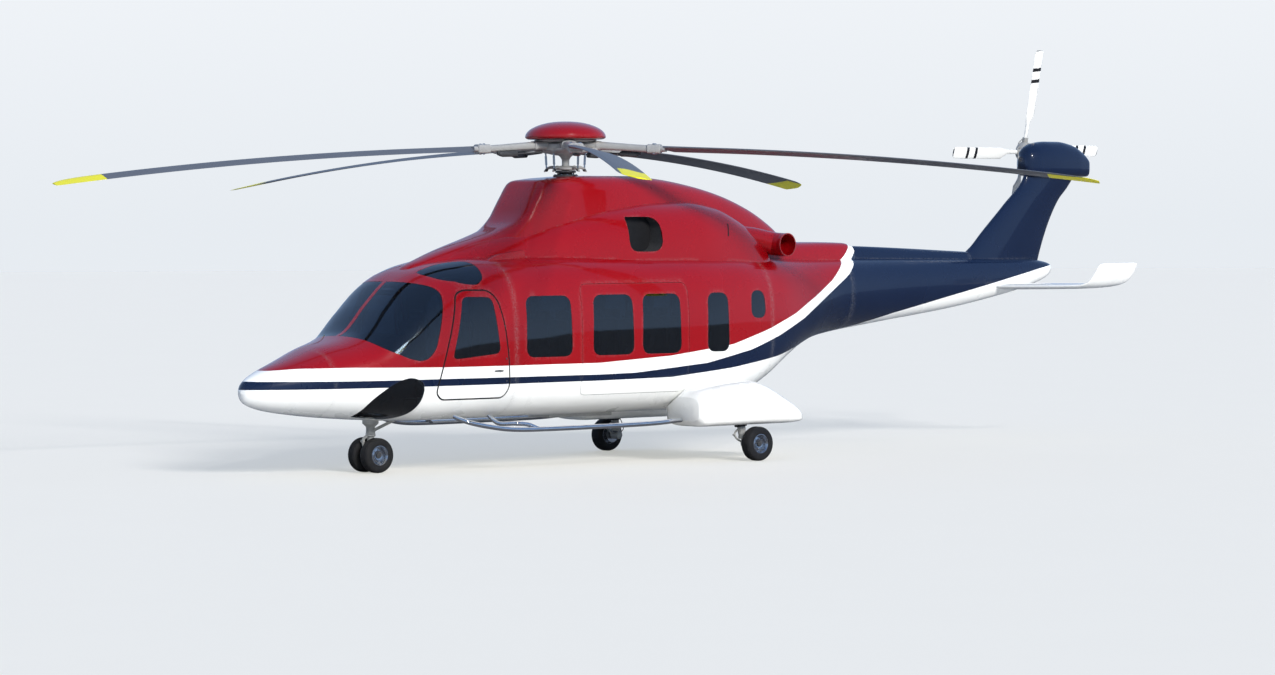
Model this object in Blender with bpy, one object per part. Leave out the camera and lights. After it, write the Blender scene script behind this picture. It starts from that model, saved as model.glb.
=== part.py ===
# Medium twin-engine helicopter, parked on its wheels.
# Metres, +Z up, nose towards -Y, port side towards +X.
# The origin is on the belly hook plate, straight below the main rotor's axis.

from math import cos, pi, radians, sin

import bmesh
import bpy
from mathutils import Matrix, Vector

# Clearances and walls
TOUCH_GAP = 0.0003
DOOR_GAP = 0.008
DOOR_SKIN = 0.022
DOOR_REBATE = 0.03
WALL = 0.06
COWL_WALL = 0.035

# Ground and floor levels
GROUND_Z = -0.64
FLOOR_Z = 0.34
CEILING_Z = 1.97

# Fuselage stations along Y
NOSE_TIP_Y = -5.47
NOSE_JOINT_Y = -4.45
FLOOR_FRONT_Y = -2.90
CABIN_FRONT_Y = -1.80
CABIN_BACK_Y = 2.95
BOOM_FRONT_Y = 5.00
BOOM_TIP_Y = 9.68

# Main rotor
HUB_Z = 3.73
ROTOR_RADIUS = 7.40
ROTOR_REST_AZIMUTH = radians(-14.8)
BLADE_COUNT = 5
BLADE_PITCH = radians(9.0)
BLADE_DROOP = 0.49
MAST_RADIUS = 0.055
DOME_RADIUS = 0.563

# Tail rotor, canted with its top towards the fin
TAIL_HUB = Vector((-0.62, 9.80, 3.78))
TAIL_CANT = radians(12.0)

# Wheels
MAIN_WHEEL = Vector((1.65, 2.09, -0.40))
MAIN_TYRE_RADIUS = 0.24
MAIN_TYRE_WIDTH = 0.18
NOSE_WHEEL_Y = -3.38
NOSE_WHEEL_SPACING = 0.28
NOSE_TYRE_RADIUS = 0.235
NOSE_TYRE_WIDTH = 0.17

# Body lines, each a list of (station, value)
TOP_LINE = [(-5.47, 0.50), (-5.44, 0.60), (-5.36, 0.67), (-5.16, 0.77), (-4.80, 0.90), (-4.40, 1.05),
            (-3.84, 1.24), (-3.46, 1.62), (-3.13, 1.92), (-2.85, 2.07), (-2.50, 2.17), (-2.00, 2.24),
            (-1.00, 2.27), (1.50, 2.26), (3.10, 2.22), (4.25, 2.18), (5.50, 2.16), (9.10, 2.12),
            (9.45, 2.08), (9.62, 2.04), (9.68, 2.00)]
BOTTOM_LINE = [(-5.47, 0.48), (-5.44, 0.38), (-5.36, 0.32), (-5.10, 0.24), (-4.65, 0.17), (-4.20, 0.12),
               (-3.60, 0.075), (-2.90, 0.045), (1.60, 0.045), (2.60, 0.17), (3.10, 0.36), (3.50, 0.60),
               (3.95, 0.84), (4.35, 0.98), (4.85, 1.07), (5.90, 1.20), (7.40, 1.38), (8.45, 1.55),
               (9.00, 1.66), (9.40, 1.77), (9.60, 1.86), (9.68, 1.93)]
WIDE_LINE = [(-5.47, 0.49), (-4.40, 0.60), (-3.40, 0.76), (-2.30, 0.88), (0.00, 0.92), (2.60, 1.02),
             (3.95, 1.38), (4.85, 1.62), (5.90, 1.69), (7.40, 1.75), (8.45, 1.84), (9.20, 1.93),
             (9.68, 1.965)]
HALF_WIDTH = [(-5.47, 0.02), (-5.44, 0.10), (-5.36, 0.19), (-5.16, 0.33), (-4.80, 0.53), (-4.40, 0.72),
              (-3.90, 0.90), (-3.40, 1.02), (-2.90, 1.10), (-2.30, 1.15), (-1.50, 1.17), (1.50, 1.17),
              (2.50, 1.10), (3.20, 0.98), (4.00, 0.76), (4.90, 0.54), (6.00, 0.42), (7.50, 0.33),
              (8.50, 0.26), (9.20, 0.20), (9.50, 0.15), (9.62, 0.09), (9.68, 0.02)]
TOP_ROUNDNESS = [(-5.47, 2.0), (-4.40, 2.4), (-3.40, 2.7), (-2.50, 3.2), (2.50, 3.4), (4.50, 2.6),
                 (9.68, 2.2)]
BOTTOM_ROUNDNESS = [(-5.47, 2.0), (-4.40, 2.4), (-2.90, 3.2), (1.50, 3.2), (3.50, 2.5), (9.68, 2.1)]

RING_POINTS = 24
HOLLOW_RING_POINTS = 12
BODY_STATIONS = [-5.47, -5.44, -5.36, -5.22, -5.00, -4.70, -4.45, -4.15, -3.84, -3.46, -3.13, -2.90, -2.50,
                 -2.15, -1.80, -1.00, 0.00, 1.00, 2.00, 2.50, 2.95, 3.30, 3.65, 4.00, 4.40, 5.00, 5.90, 7.00,
                 8.00, 8.80, 9.20, 9.50, 9.62, 9.68]

PAINT_RED = (0.36, 0.006, 0.012)
PAINT_WHITE = (0.78, 0.79, 0.78)
PAINT_NAVY = (0.006, 0.013, 0.055)
GLASS_TINT = (0.02, 0.03, 0.04)
BLADE_GREY = (0.11, 0.115, 0.13)
HUB_GREY = (0.20, 0.20, 0.21)
STEEL = (0.62, 0.63, 0.65)
TYRE_BLACK = (0.012, 0.012, 0.013)
TRIM_GREY = (0.08, 0.085, 0.09)
SEAT_GREY = (0.05, 0.055, 0.065)


def clear_scene():
    for item in list(bpy.data.objects):
        bpy.data.objects.remove(item, do_unlink=True)


def make_material(name, colour, roughness, metallic=0.0, alpha=1.0):
    material = bpy.data.materials.new(name)
    material.use_nodes = True
    shader = material.node_tree.nodes["Principled BSDF"]
    shader.inputs["Base Color"].default_value = (*colour, 1.0)
    shader.inputs["Roughness"].default_value = roughness
    shader.inputs["Metallic"].default_value = metallic
    shader.inputs["Alpha"].default_value = alpha
    material.diffuse_color = (*colour, alpha)
    return material


# A curve through (station, value) points that never overshoots them
def along(line, station):
    if station <= line[0][0]:
        return line[0][1]
    if station >= line[-1][0]:
        return line[-1][1]
    slopes = [(b[1] - a[1]) / (b[0] - a[0]) for a, b in zip(line, line[1:])]
    tangents = [slopes[0]]
    for before, after in zip(slopes, slopes[1:]):
        tangents.append(0.0 if before * after <= 0 else 2 * before * after / (before + after))
    tangents.append(slopes[-1])
    index = max(i for i, point in enumerate(line[:-1]) if point[0] <= station)
    (start, low), (end, high) = line[index], line[index + 1]
    span = end - start
    t = (station - start) / span
    return ((2 * t ** 3 - 3 * t ** 2 + 1) * low + (t ** 3 - 2 * t ** 2 + t) * span * tangents[index]
            + (3 * t ** 2 - 2 * t ** 3) * high + (t ** 3 - t ** 2) * span * tangents[index + 1])


def rounded_power(value, exponent):
    return abs(value) ** (2 / exponent) * (1 if value >= 0 else -1)


# One ring of a rounded section in the XZ plane at station y
def section_ring(y, centre_x, half_width, top, wide, bottom, top_round, bottom_round, count):
    ring = []
    for k in range(count):
        angle = 2 * pi * k / count
        exponent = top_round if sin(angle) >= 0 else bottom_round
        height = top - wide if sin(angle) >= 0 else wide - bottom
        ring.append((centre_x + half_width * rounded_power(cos(angle), exponent), y,
                     wide + height * rounded_power(sin(angle), exponent)))
    return ring


def body_ring(y, inset=0.0, count=RING_POINTS, ceiling=None):
    top = along(TOP_LINE, y) - inset
    if ceiling is not None:
        top = min(top, ceiling)
    return section_ring(y, 0, along(HALF_WIDTH, y) - inset, top, along(WIDE_LINE, y),
                        along(BOTTOM_LINE, y) + inset, along(TOP_ROUNDNESS, y),
                        along(BOTTOM_ROUNDNESS, y), count)


def place(name, mesh, material=None, guide=False):
    item = bpy.data.objects.new(name, mesh)
    bpy.context.scene.collection.objects.link(item)
    if material is not None:
        mesh.materials.append(material)
    if guide:
        item.hide_render = True
        item.display_type = "WIRE"
    return item


# A closed skin over rings that all have the same number of points, in triangles so that
# nested skins keep an even distance
def loft(name, rings, material=None, guide=False, smooth_angle=40):
    form = bmesh.new()
    rows = [[form.verts.new(point) for point in ring] for ring in rings]
    for row, following in zip(rows, rows[1:]):
        for k in range(len(row)):
            j = (k + 1) % len(row)
            form.faces.new((row[k], row[j], following[j]))
            form.faces.new((row[k], following[j], following[k]))
    form.faces.new(rows[0])
    form.faces.new(rows[-1])
    bmesh.ops.recalc_face_normals(form, faces=form.faces)
    mesh = bpy.data.meshes.new(name)
    form.to_mesh(mesh)
    form.free()
    mesh.shade_smooth()
    mesh.set_sharp_from_angle(angle=radians(smooth_angle))
    return place(name, mesh, material, guide)


def stations_between(stations, start, end):
    return [start] + [y for y in stations if start + 0.01 < y < end - 0.01] + [end]


def body_loft(name, start, end, material=None, inset=0.0, guide=False, ceiling=None, count=RING_POINTS):
    stations = stations_between(BODY_STATIONS, start, end)
    return loft(name, [body_ring(y, inset, count, ceiling) for y in stations], material, guide)


def box(name, low, high, material=None, guide=False):
    rings = [[(low[0], y, low[2]), (high[0], y, low[2]), (high[0], y, high[2]), (low[0], y, high[2])]
             for y in (low[1], high[1])]
    return loft(name, rings, material, guide)


# A polygon in the YZ plane, extruded along X
def side_prism(name, outline, x_from, x_to, material=None, guide=False):
    rings = [[(x, y, z) for y, z in outline] for x in (x_from, x_to)]
    return loft(name, rings, material, guide)


# The outline with each corner turned into an arc of its own radius
def round_corners(outline, radius, steps=2):
    rounded = []
    count = len(outline)
    for k, corner in enumerate(outline):
        here = Vector(corner)
        back = Vector(outline[k - 1]) - here
        ahead = Vector(outline[(k + 1) % count]) - here
        reach = min(radius, back.length * 0.45, ahead.length * 0.45)
        start, end = here + back.normalized() * reach, here + ahead.normalized() * reach
        for step in range(steps + 1):
            t = step / steps
            point = start * (1 - t) ** 2 + here * 2 * t * (1 - t) + end * t ** 2
            rounded.append((point.x, point.y))
    return rounded


# The outline moved outwards by a margin, for the same outline given anticlockwise or clockwise
def grow(outline, margin):
    area = sum(a[0] * b[1] - b[0] * a[1] for a, b in zip(outline, outline[1:] + outline[:1]))
    sign = 1 if area > 0 else -1
    grown = []
    count = len(outline)
    for k, corner in enumerate(outline):
        before = (Vector(corner) - Vector(outline[k - 1])).normalized()
        after = (Vector(outline[(k + 1) % count]) - Vector(corner)).normalized()
        normal = (Vector((before.y, -before.x)) + Vector((after.y, -after.x))) * sign
        normal = normal / max(0.3, normal.length_squared / 2)
        grown.append((corner[0] + normal.x * margin, corner[1] + normal.y * margin))
    return grown


# A round bar, cone or disc between two points
def rod(name, start, end, radius, end_radius=None, sides=12, material=None, guide=False):
    start, end = Vector(start), Vector(end)
    axis = (end - start).normalized()
    across = axis.orthogonal().normalized()
    beside = axis.cross(across)
    rings = []
    for centre, r in ((start, radius), (end, radius if end_radius is None else end_radius)):
        rings.append([centre + (across * cos(2 * pi * k / sides) + beside * sin(2 * pi * k / sides)) * r
                      for k in range(sides)])
    return loft(name, rings, material, guide)


# A profile of (distance from axis, height) turned about an axis, closed into a ring or a solid
def turned(name, profile, centre, axis, sides=24, material=None, guide=False, closed=False):
    axis = Vector(axis).normalized()
    across = axis.orthogonal().normalized()
    beside = axis.cross(across)
    centre = Vector(centre)
    form = bmesh.new()
    rows = []
    for r, height in profile:
        base = centre + axis * height
        if r == 0:
            rows.append([form.verts.new(base)])
            continue
        rows.append([form.verts.new(base + (across * cos(2 * pi * k / sides)
                                            + beside * sin(2 * pi * k / sides)) * r)
                     for k in range(sides)])
    pairs = list(zip(rows, rows[1:]))
    if closed:
        pairs.append((rows[-1], rows[0]))
    for row, following in pairs:
        for k in range(sides):
            j = (k + 1) % sides
            corners = [row[k % len(row)], row[j % len(row)], following[j % len(following)],
                       following[k % len(following)]]
            unique = list(dict.fromkeys(corners))
            if len(unique) > 2:
                form.faces.new(unique)
    if not closed:
        for row in (rows[0], rows[-1]):
            if len(row) > 1:
                form.faces.new(row)
    bmesh.ops.recalc_face_normals(form, faces=form.faces)
    mesh = bpy.data.meshes.new(name)
    form.to_mesh(mesh)
    form.free()
    mesh.shade_smooth()
    mesh.set_sharp_from_angle(angle=radians(40))
    return place(name, mesh, material, guide)


def combine(item, other, operation):
    step = item.modifiers.new(operation.lower(), "BOOLEAN")
    step.operation = operation
    step.solver = "EXACT"
    step.object = other
    other.hide_render = True
    other.display_type = "WIRE"
    return item


def cut(item, *cutters):
    for cutter in cutters:
        combine(item, cutter, "DIFFERENCE")
    return item


def keep(item, region):
    return combine(item, region, "INTERSECT")


def fuse(item, *others):
    for other in others:
        combine(item, other, "UNION")
    return item


# The joint's axis runs through the object's origin
def set_origin(item, origin):
    origin = Vector(origin)
    item.data.transform(Matrix.Translation(-origin))
    item.location = origin


# Openings, as (station, height) outlines seen from the side
COCKPIT_DOOR = [(-2.70, 1.75), (-2.58, 1.805), (-2.19, 1.80), (-2.07, 1.67), (-1.99, 1.36), (-1.93, 0.95),
                (-1.90, 0.48), (-1.97, 0.35), (-2.97, 0.35), (-3.06, 0.44), (-3.05, 0.54)]
DOOR_CORNER = 0.06
# Each cockpit door swings about a line just outside its front edge
DOOR_HINGE = Vector((1.10, -3.07, 0.54))
DOOR_WINDOW = [(-2.61, 1.715), (-2.16, 1.705), (-2.06, 0.955), (-2.83, 0.885)]
DOOR_WINDOW_CORNER = 0.07
WINDSCREEN = [(-4.30, 1.52), (-3.92, 1.20), (-3.76, 1.04), (-3.43, 0.895), (-3.23, 0.87), (-3.08, 1.01),
              (-2.90, 1.62), (-2.88, 1.77), (-2.94, 1.85), (-3.14, 1.92), (-4.30, 2.10)]
CHIN_PANE = [(-4.06, 0.10), (-3.98, 0.35), (-3.80, 0.51), (-3.60, 0.625), (-3.43, 0.665), (-3.28, 0.61),
             (-3.24, 0.51), (-3.26, 0.33), (-3.33, 0.17), (-3.46, 0.10)]
CHIN_INNER_X = 0.42
CABIN_WINDOW_BOTTOM = 0.885
CABIN_WINDOW_TOP = 1.71
CABIN_WINDOWS = [(-1.63, -0.83), (-0.47, 0.26), (0.41, 1.12), (1.60, 2.03)]
REAR_WINDOW = (2.48, 2.80, 1.34, 1.73)
CABIN_DOOR = [(-0.66, 0.345), (1.26, 0.345), (1.26, 1.86), (-0.66, 1.86)]
WINDOW_CORNER = 0.14
POST_HALF_WIDTH = 0.035


def window_outline(front, back, bottom, top):
    lean = 0.02
    corners = [(front + lean, top), (back - lean, top), (back, bottom), (front, bottom)]
    return round_corners(corners, WINDOW_CORNER)


# Outlines of all openings in the cabin's side
def cabin_outlines():
    outlines = [window_outline(front, back, CABIN_WINDOW_BOTTOM, CABIN_WINDOW_TOP)
                for front, back in CABIN_WINDOWS]
    front, back, bottom, top = REAR_WINDOW
    outlines.append(window_outline(front, back, bottom, top))
    return outlines


def through_cutter(name, outline):
    return side_prism(name, outline, -1.6, 1.6, guide=True)


def side_cutter(name, outline, side, inner=0.55, outer=1.6):
    return side_prism(name, outline, side * inner, side * outer, guide=True)


# The hollow inside the cockpit and cabin, deeper in the footwell ahead of the floor
def cavity(name, inset=WALL):
    hollow = body_loft(name, -4.95, CABIN_BACK_Y - WALL, inset=inset, guide=True,
                       ceiling=CEILING_Z - (inset - WALL))
    under = box(name + "_floor", (-1.5, FLOOR_FRONT_Y - WALL, -0.3), (1.5, CABIN_BACK_Y + 0.3, FLOOR_Z),
                guide=True)
    return cut(hollow, under)


def build_nose(paint):
    nose = body_loft("nose_cone", NOSE_TIP_Y, NOSE_JOINT_Y - TOUCH_GAP, paint)
    hollow = body_loft("nose_hollow", NOSE_TIP_Y + 0.17, NOSE_JOINT_Y + 0.05, inset=0.05, guide=True,
                       count=HOLLOW_RING_POINTS)
    return cut(nose, hollow)


def build_cockpit_shell(paint):
    shell = body_loft("cockpit_shell", NOSE_JOINT_Y, CABIN_FRONT_Y - TOUCH_GAP, paint)
    cut(shell, cavity("cockpit_hollow"))
    under = box("cockpit_underfloor_space", (-1.6, FLOOR_FRONT_Y - TOUCH_GAP, -0.3),
                (1.6, 0, FLOOR_Z + TOUCH_GAP), guide=True)
    door_hole = through_cutter("cockpit_door_hole", grow(round_corners(COCKPIT_DOOR, DOOR_CORNER), DOOR_GAP))
    cut(shell, under, door_hole)
    for side in (1, -1):
        cut(shell, side_cutter("windscreen_hole", WINDSCREEN, side, POST_HALF_WIDTH),
            side_cutter("chin_hole", CHIN_PANE, side, CHIN_INNER_X))
        cut(shell, overhead_cutter(side, 0))
    return shell


# The overhead pane's outline is drawn from above, as a block that passes down through the roof
def overhead_cutter(side, margin):
    outline = [(0.35, -2.90), (0.55, -2.90), (0.78, -2.80), (0.95, -2.50), (0.985, -2.31), (0.94, -2.19),
               (0.80, -2.16), (0.55, -2.18), (0.42, -2.40), (0.37, -2.62)]
    outline = grow(round_corners(outline, 0.10, 2), -margin)
    rings = [[(side * x, y, z) for x, y in outline] for z in (1.6, 2.6)]
    return loft("overhead_cutter", rings, guide=True)


def build_cabin_shell(paint):
    shell = body_loft("cabin_shell", CABIN_FRONT_Y, CABIN_BACK_Y - TOUCH_GAP, paint)
    cut(shell, cavity("cabin_hollow"))
    cut(shell, box("cabin_underfloor_space", (-1.6, -2.5, -0.3), (1.6, 3.5, FLOOR_Z + TOUCH_GAP), guide=True))
    cut(shell, through_cutter("cabin_door_hole", grow(round_corners(CABIN_DOOR, 0.12), 0.001)))
    for k, outline in enumerate(cabin_outlines()):
        if k not in (1, 2):
            cut(shell, through_cutter("cabin_window_hole", outline))
    return shell


def build_underfloor(paint):
    under = body_loft("underfloor", FLOOR_FRONT_Y, CABIN_BACK_Y - TOUCH_GAP, paint)
    return cut(under, box("above_floor", (-1.6, -3.5, FLOOR_Z), (1.6, 3.5, 3.0), guide=True))


# The door's inner side is smaller all round than its skin, so that it swings out past the frame
def build_cockpit_door(name, side, paint):
    door = body_loft(name, -3.30, -1.80, paint)
    outline = round_corners(COCKPIT_DOOR, DOOR_CORNER)
    keep(door, side_cutter(name + "_outline", outline, side))
    cut(door, cavity(name + "_hollow"),
        side_cutter(name + "_window", round_corners(DOOR_WINDOW, DOOR_WINDOW_CORNER), side))
    rebate = body_loft(name + "_rebate", -3.40, -1.70, inset=DOOR_SKIN, guide=True)
    cut(rebate, side_cutter(name + "_inner_side", grow(outline, -DOOR_REBATE), side))
    cut(door, rebate)
    set_origin(door, (side * DOOR_HINGE.x, DOOR_HINGE.y, DOOR_HINGE.z))


def build_cabin_door(name, side, paint):
    door = body_loft(name, -0.75, 1.35, paint)
    keep(door, side_cutter(name + "_outline", round_corners(CABIN_DOOR, 0.12), side))
    cut(door, cavity(name + "_hollow"))
    for outline in cabin_outlines()[1:3]:
        cut(door, side_cutter(name + "_window", outline, side))
    return door


def build_rear_fuselage(paint):
    rear = body_loft("rear_fuselage", CABIN_BACK_Y, BOOM_FRONT_Y - TOUCH_GAP, paint)
    return cut(rear, body_loft("rear_hollow", CABIN_BACK_Y + 0.10, BOOM_FRONT_Y + 0.05, inset=0.045,
                               guide=True, count=HOLLOW_RING_POINTS))


def build_tail_boom(paint):
    boom = body_loft("tail_boom", BOOM_FRONT_Y, BOOM_TIP_Y, paint)
    return cut(boom, body_loft("boom_hollow", BOOM_FRONT_Y - 0.05, 9.10, inset=0.035, guide=True,
                               count=HOLLOW_RING_POINTS))


# A pane fills its opening, thinner than the wall and a little below its surface
def pane(name, start, end, material, region, depth=0.004, thickness=0.014, bottom=None):
    glass = body_loft(name, start, end, material, inset=depth)
    cut(glass, body_loft(name + "_inside", start - 0.05, end + 0.05, inset=depth + thickness, guide=True))
    return keep(glass, region)


def build_glass(glass):
    for word, side in (("port", 1), ("starboard", -1)):
        pane("windscreen_" + word, -4.20, -2.75, glass,
             side_cutter("windscreen_pane", grow(WINDSCREEN, -0.001), side, POST_HALF_WIDTH + 0.001))
        pane("overhead_window_" + word, -3.05, -2.05, glass, overhead_cutter(side, 0.001))
        pane("chin_window_" + word, -4.20, -3.05, glass,
             side_cutter("chin_pane", grow(CHIN_PANE, -0.001), side, CHIN_INNER_X + 0.001))
        door_pane = pane("door_window_" + word, -2.95, -1.90, glass,
                         side_cutter("door_pane", grow(round_corners(DOOR_WINDOW, DOOR_WINDOW_CORNER), -0.001),
                                     side))
        set_origin(door_pane, (side * DOOR_HINGE.x, DOOR_HINGE.y, DOOR_HINGE.z))
        band = body_loft("side_glass_" + word, CABIN_FRONT_Y, CABIN_BACK_Y - WALL - TOUCH_GAP, glass,
                         inset=WALL + TOUCH_GAP, ceiling=CEILING_Z - TOUCH_GAP)
        cut(band, body_loft("side_glass_inside", CABIN_FRONT_Y - 0.1, CABIN_BACK_Y + 0.1, inset=WALL + 0.010,
                            guide=True, ceiling=CEILING_Z - 0.010))
        keep(band, side_prism("side_glass_region", [(-1.9, 0.80), (2.8, 0.80), (2.8, 1.80), (-1.9, 1.80)],
                              side * 0.6, side * 1.6, guide=True))


# Upper deck fairings, as top lines and half widths along Y
COWL_BASE_Z = 1.90
COWL_TOP = [(-1.25, 2.55), (-1.10, 2.66), (-0.40, 2.84), (0.70, 2.98), (1.85, 3.02), (2.40, 2.95),
            (2.80, 2.80), (3.05, 2.64), (3.20, 2.52), (3.32, 2.37), (3.38, 2.26)]
COWL_WIDTH = [(-1.25, 0.58), (-0.40, 0.86), (0.70, 0.94), (1.85, 0.93), (2.60, 0.87), (3.05, 0.80),
              (3.32, 0.70), (3.38, 0.64)]
COWL_STATIONS = [-1.25, -1.10, -0.80, -0.40, 0.20, 0.90, 1.60, 2.10, 2.50, 2.80, 3.05, 3.20, 3.32, 3.38]
REAR_DECK_TOP = [(2.90, 2.41), (4.60, 2.40), (5.20, 2.385), (5.40, 2.34)]
REAR_DECK_WIDTH = [(2.90, 0.46), (3.60, 0.42), (4.60, 0.30), (5.20, 0.22), (5.40, 0.16)]
PYLON_TOP = [(-2.80, 2.13), (-2.54, 2.22), (-2.17, 2.35), (-1.60, 2.55), (-1.40, 2.61), (-1.22, 2.74),
             (-1.08, 2.92), (-0.96, 3.10), (-0.86, 3.23), (-0.76, 3.285), (-0.40, 3.32), (0.20, 3.355),
             (1.00, 3.35), (1.60, 3.31), (2.10, 3.24), (2.70, 3.11), (3.30, 2.90), (3.75, 2.66), (4.05, 2.43)]
PYLON_WIDTH = [(-2.80, 0.25), (-2.54, 0.40), (-2.17, 0.52), (-1.46, 0.64), (-0.82, 0.60), (0.20, 0.56),
               (1.60, 0.50), (2.45, 0.42), (3.75, 0.26), (4.05, 0.16)]
PYLON_STATIONS = [-2.80, -2.54, -2.17, -1.80, -1.46, -1.30, -1.16, -1.04, -0.94, -0.84, -0.70, -0.40, 0.20,
                  1.00, 1.60, 2.10, 2.70, 3.30, 3.75, 4.05]
INTAKE = [(0.56, 2.31), (1.08, 2.31), (1.08, 2.77), (0.56, 2.77)]
EXHAUST_ROUTE = [(0.40, 2.40, 2.44), (0.42, 2.72, 2.48), (0.43, 3.05, 2.46), (0.50, 3.38, 2.39),
                 (0.66, 3.46, 2.37), (0.78, 3.47, 2.37)]
EXHAUST_RADIUS = 0.155
EXHAUST_WALL = 0.012
AIR_BOX_CLEARANCE = 0.02
MAST_HOLE_RADIUS = 0.36
PYLON_ROUNDNESS = 1.9
COWL_ROUNDNESS = 2.5
REAR_DECK_ROUNDNESS = 3.4
REAR_DECK_STATIONS = (2.90, 3.60, 4.20, 4.80, 5.20, 5.38)
PIPE_CLEARANCE = 0.008
SHAFT_COVER_TOP = [(5.10, 2.345), (5.50, 2.335), (7.70, 2.24), (8.30, 2.21)]
SHAFT_COVER_STATIONS = (5.10, 5.9, 7.0, 7.85)
SHAFT_COVER_HALF_WIDTH = 0.14


def fairing(name, stations, tops, widths, roundness, material=None, inset=0.0, guide=False, count=20):
    rings = []
    base = COWL_BASE_Z - 0.05 - inset
    for y in stations:
        top, half_width = along(tops, y) - inset, along(widths, y) - inset
        rings.append(section_ring(y, 0, half_width, top, COWL_BASE_Z, base, roundness, 4.0, count))
    return loft(name, rings, material, guide)


def skin(name, start=NOSE_TIP_Y, end=BOOM_TIP_Y):
    return body_loft(name, start, end, inset=-TOUCH_GAP, guide=True)


def pylon_form(name, inset, guide=True, material=None):
    return fairing(name, PYLON_STATIONS, PYLON_TOP, PYLON_WIDTH, PYLON_ROUNDNESS, material, inset, guide)


def cowl_form(name, inset, guide=True, material=None):
    return fairing(name, COWL_STATIONS, COWL_TOP, COWL_WIDTH, COWL_ROUNDNESS, material, inset, guide)


def build_fairings(paint, cover_paint):
    hollow_stations = [y for y in PYLON_STATIONS if -1.9 < y < 3.3]
    pylon = pylon_form("rotor_pylon", 0.0, guide=False, material=paint)
    pylon_hollow = fairing("pylon_hollow", hollow_stations, PYLON_TOP, PYLON_WIDTH, PYLON_ROUNDNESS, None,
                           COWL_WALL, True, HOLLOW_RING_POINTS)
    cowl_hollow_stations = [y for y in COWL_STATIONS if -1.2 < y < 3.1]
    cowl_hollow = fairing("cowl_hollow", cowl_hollow_stations, COWL_TOP, COWL_WIDTH, COWL_ROUNDNESS, None,
                          COWL_WALL, True, HOLLOW_RING_POINTS)
    mast_hole = rod("mast_hole", (0, 0, 3.0), (0, 0, 3.6), MAST_HOLE_RADIUS, sides=24, guide=True)
    cut(pylon, skin("pylon_seat"), pylon_hollow, cowl_hollow, mast_hole)
    for word, side in (("port", 1), ("starboard", -1)):
        cowl = cowl_form("engine_cowling_" + word, 0.0, guide=False, material=paint)
        low_x, high_x = sorted((side * -1.5, side * 0.05))
        cut(cowl, box("cowl_other_half", (low_x, -3.0, 1.0), (high_x, 5.0, 4.0), guide=True),
            pylon_form("pylon_space", -TOUCH_GAP), skin("cowl_seat"), cowl_hollow,
            side_cutter("intake_hole", round_corners(INTAKE, 0.12), side, 0.5, 1.3),
            exhaust_tube("exhaust_hole", side, EXHAUST_RADIUS + PIPE_CLEARANCE))
    rear = fairing("rear_deck_fairing", REAR_DECK_STATIONS, REAR_DECK_TOP, REAR_DECK_WIDTH,
                   REAR_DECK_ROUNDNESS, paint, count=16)
    cut(rear, skin("rear_deck_seat"), cowl_form("rear_deck_front", -TOUCH_GAP),
        pylon_form("rear_deck_top", -TOUCH_GAP))
    for side in (1, -1):
        pipe_space = exhaust_tube("exhaust_space", side, EXHAUST_RADIUS + PIPE_CLEARANCE)
        cut(rear, pipe_space)
        cut(pylon, pipe_space)
    rear_space = fairing("rear_deck_space", REAR_DECK_STATIONS, REAR_DECK_TOP, REAR_DECK_WIDTH,
                         REAR_DECK_ROUNDNESS, None, -TOUCH_GAP, True, 16)
    cover_rings = [section_ring(y, 0, SHAFT_COVER_HALF_WIDTH, along(SHAFT_COVER_TOP, y), 2.0, 1.98, 2.2, 4.0,
                                16) for y in SHAFT_COVER_STATIONS]
    cover = loft("drive_shaft_cover", cover_rings, cover_paint)
    cut(cover, skin("cover_seat", CABIN_BACK_Y), rear_space)


# The pipe's curve can run on past its mouth, for a bore that comes out there
def exhaust_tube(name, side, radius, past_mouth=False):
    route = [Vector((side * x, y, z)) for x, y, z in EXHAUST_ROUTE]
    if past_mouth:
        route.append(route[-1] * 2 - route[-2])
    return tube(name, route, radius, sides=14, steps=2, guide=True)


# A block at each engine's place, with the air box that fills the way from the intake to it
def build_engines(metal, dark):
    for word, side in (("port", 1), ("starboard", -1)):
        low_x, high_x = sorted((side * 0.18, side * 0.57))
        engine = box("engine_" + word, (low_x, 0.95, 2.29), (high_x, 2.50, 2.56), metal)
        box_low, box_high = sorted((side * 0.32, side * 1.2))
        air_box = fairing("air_box_" + word, COWL_STATIONS, COWL_TOP, COWL_WIDTH, COWL_ROUNDNESS, None,
                          COWL_WALL + AIR_BOX_CLEARANCE, True, HOLLOW_RING_POINTS)
        keep(air_box, box("air_box_length", (box_low, 0.49, 2.27), (box_high, 1.15, 2.80), guide=True))
        fuse(engine, air_box, exhaust_tube("exhaust_pipe", side, EXHAUST_RADIUS))
        cut(engine, exhaust_tube("exhaust_bore", side, EXHAUST_RADIUS - EXHAUST_WALL, past_mouth=True))
    gearbox = box("main_gearbox", (-0.28, -0.36, 2.30), (0.28, 0.55, 2.84), dark)
    housing = turned("mast_housing", [(0.24, 2.75), (0.20, 3.20), (0.11, 3.26), (0.11, 3.30), (0.30, 3.31),
                                      (0.30, 3.36), (0.0, 3.36)], (0, 0, 0), (0, 0, 1), 20, guide=True)
    shaft_space = rod("mast_space", (0, 0, 3.1), (0, 0, 3.8), MAST_RADIUS + 0.006, sides=16, guide=True)
    fuse(gearbox, housing)
    cut(gearbox, shaft_space)


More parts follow.
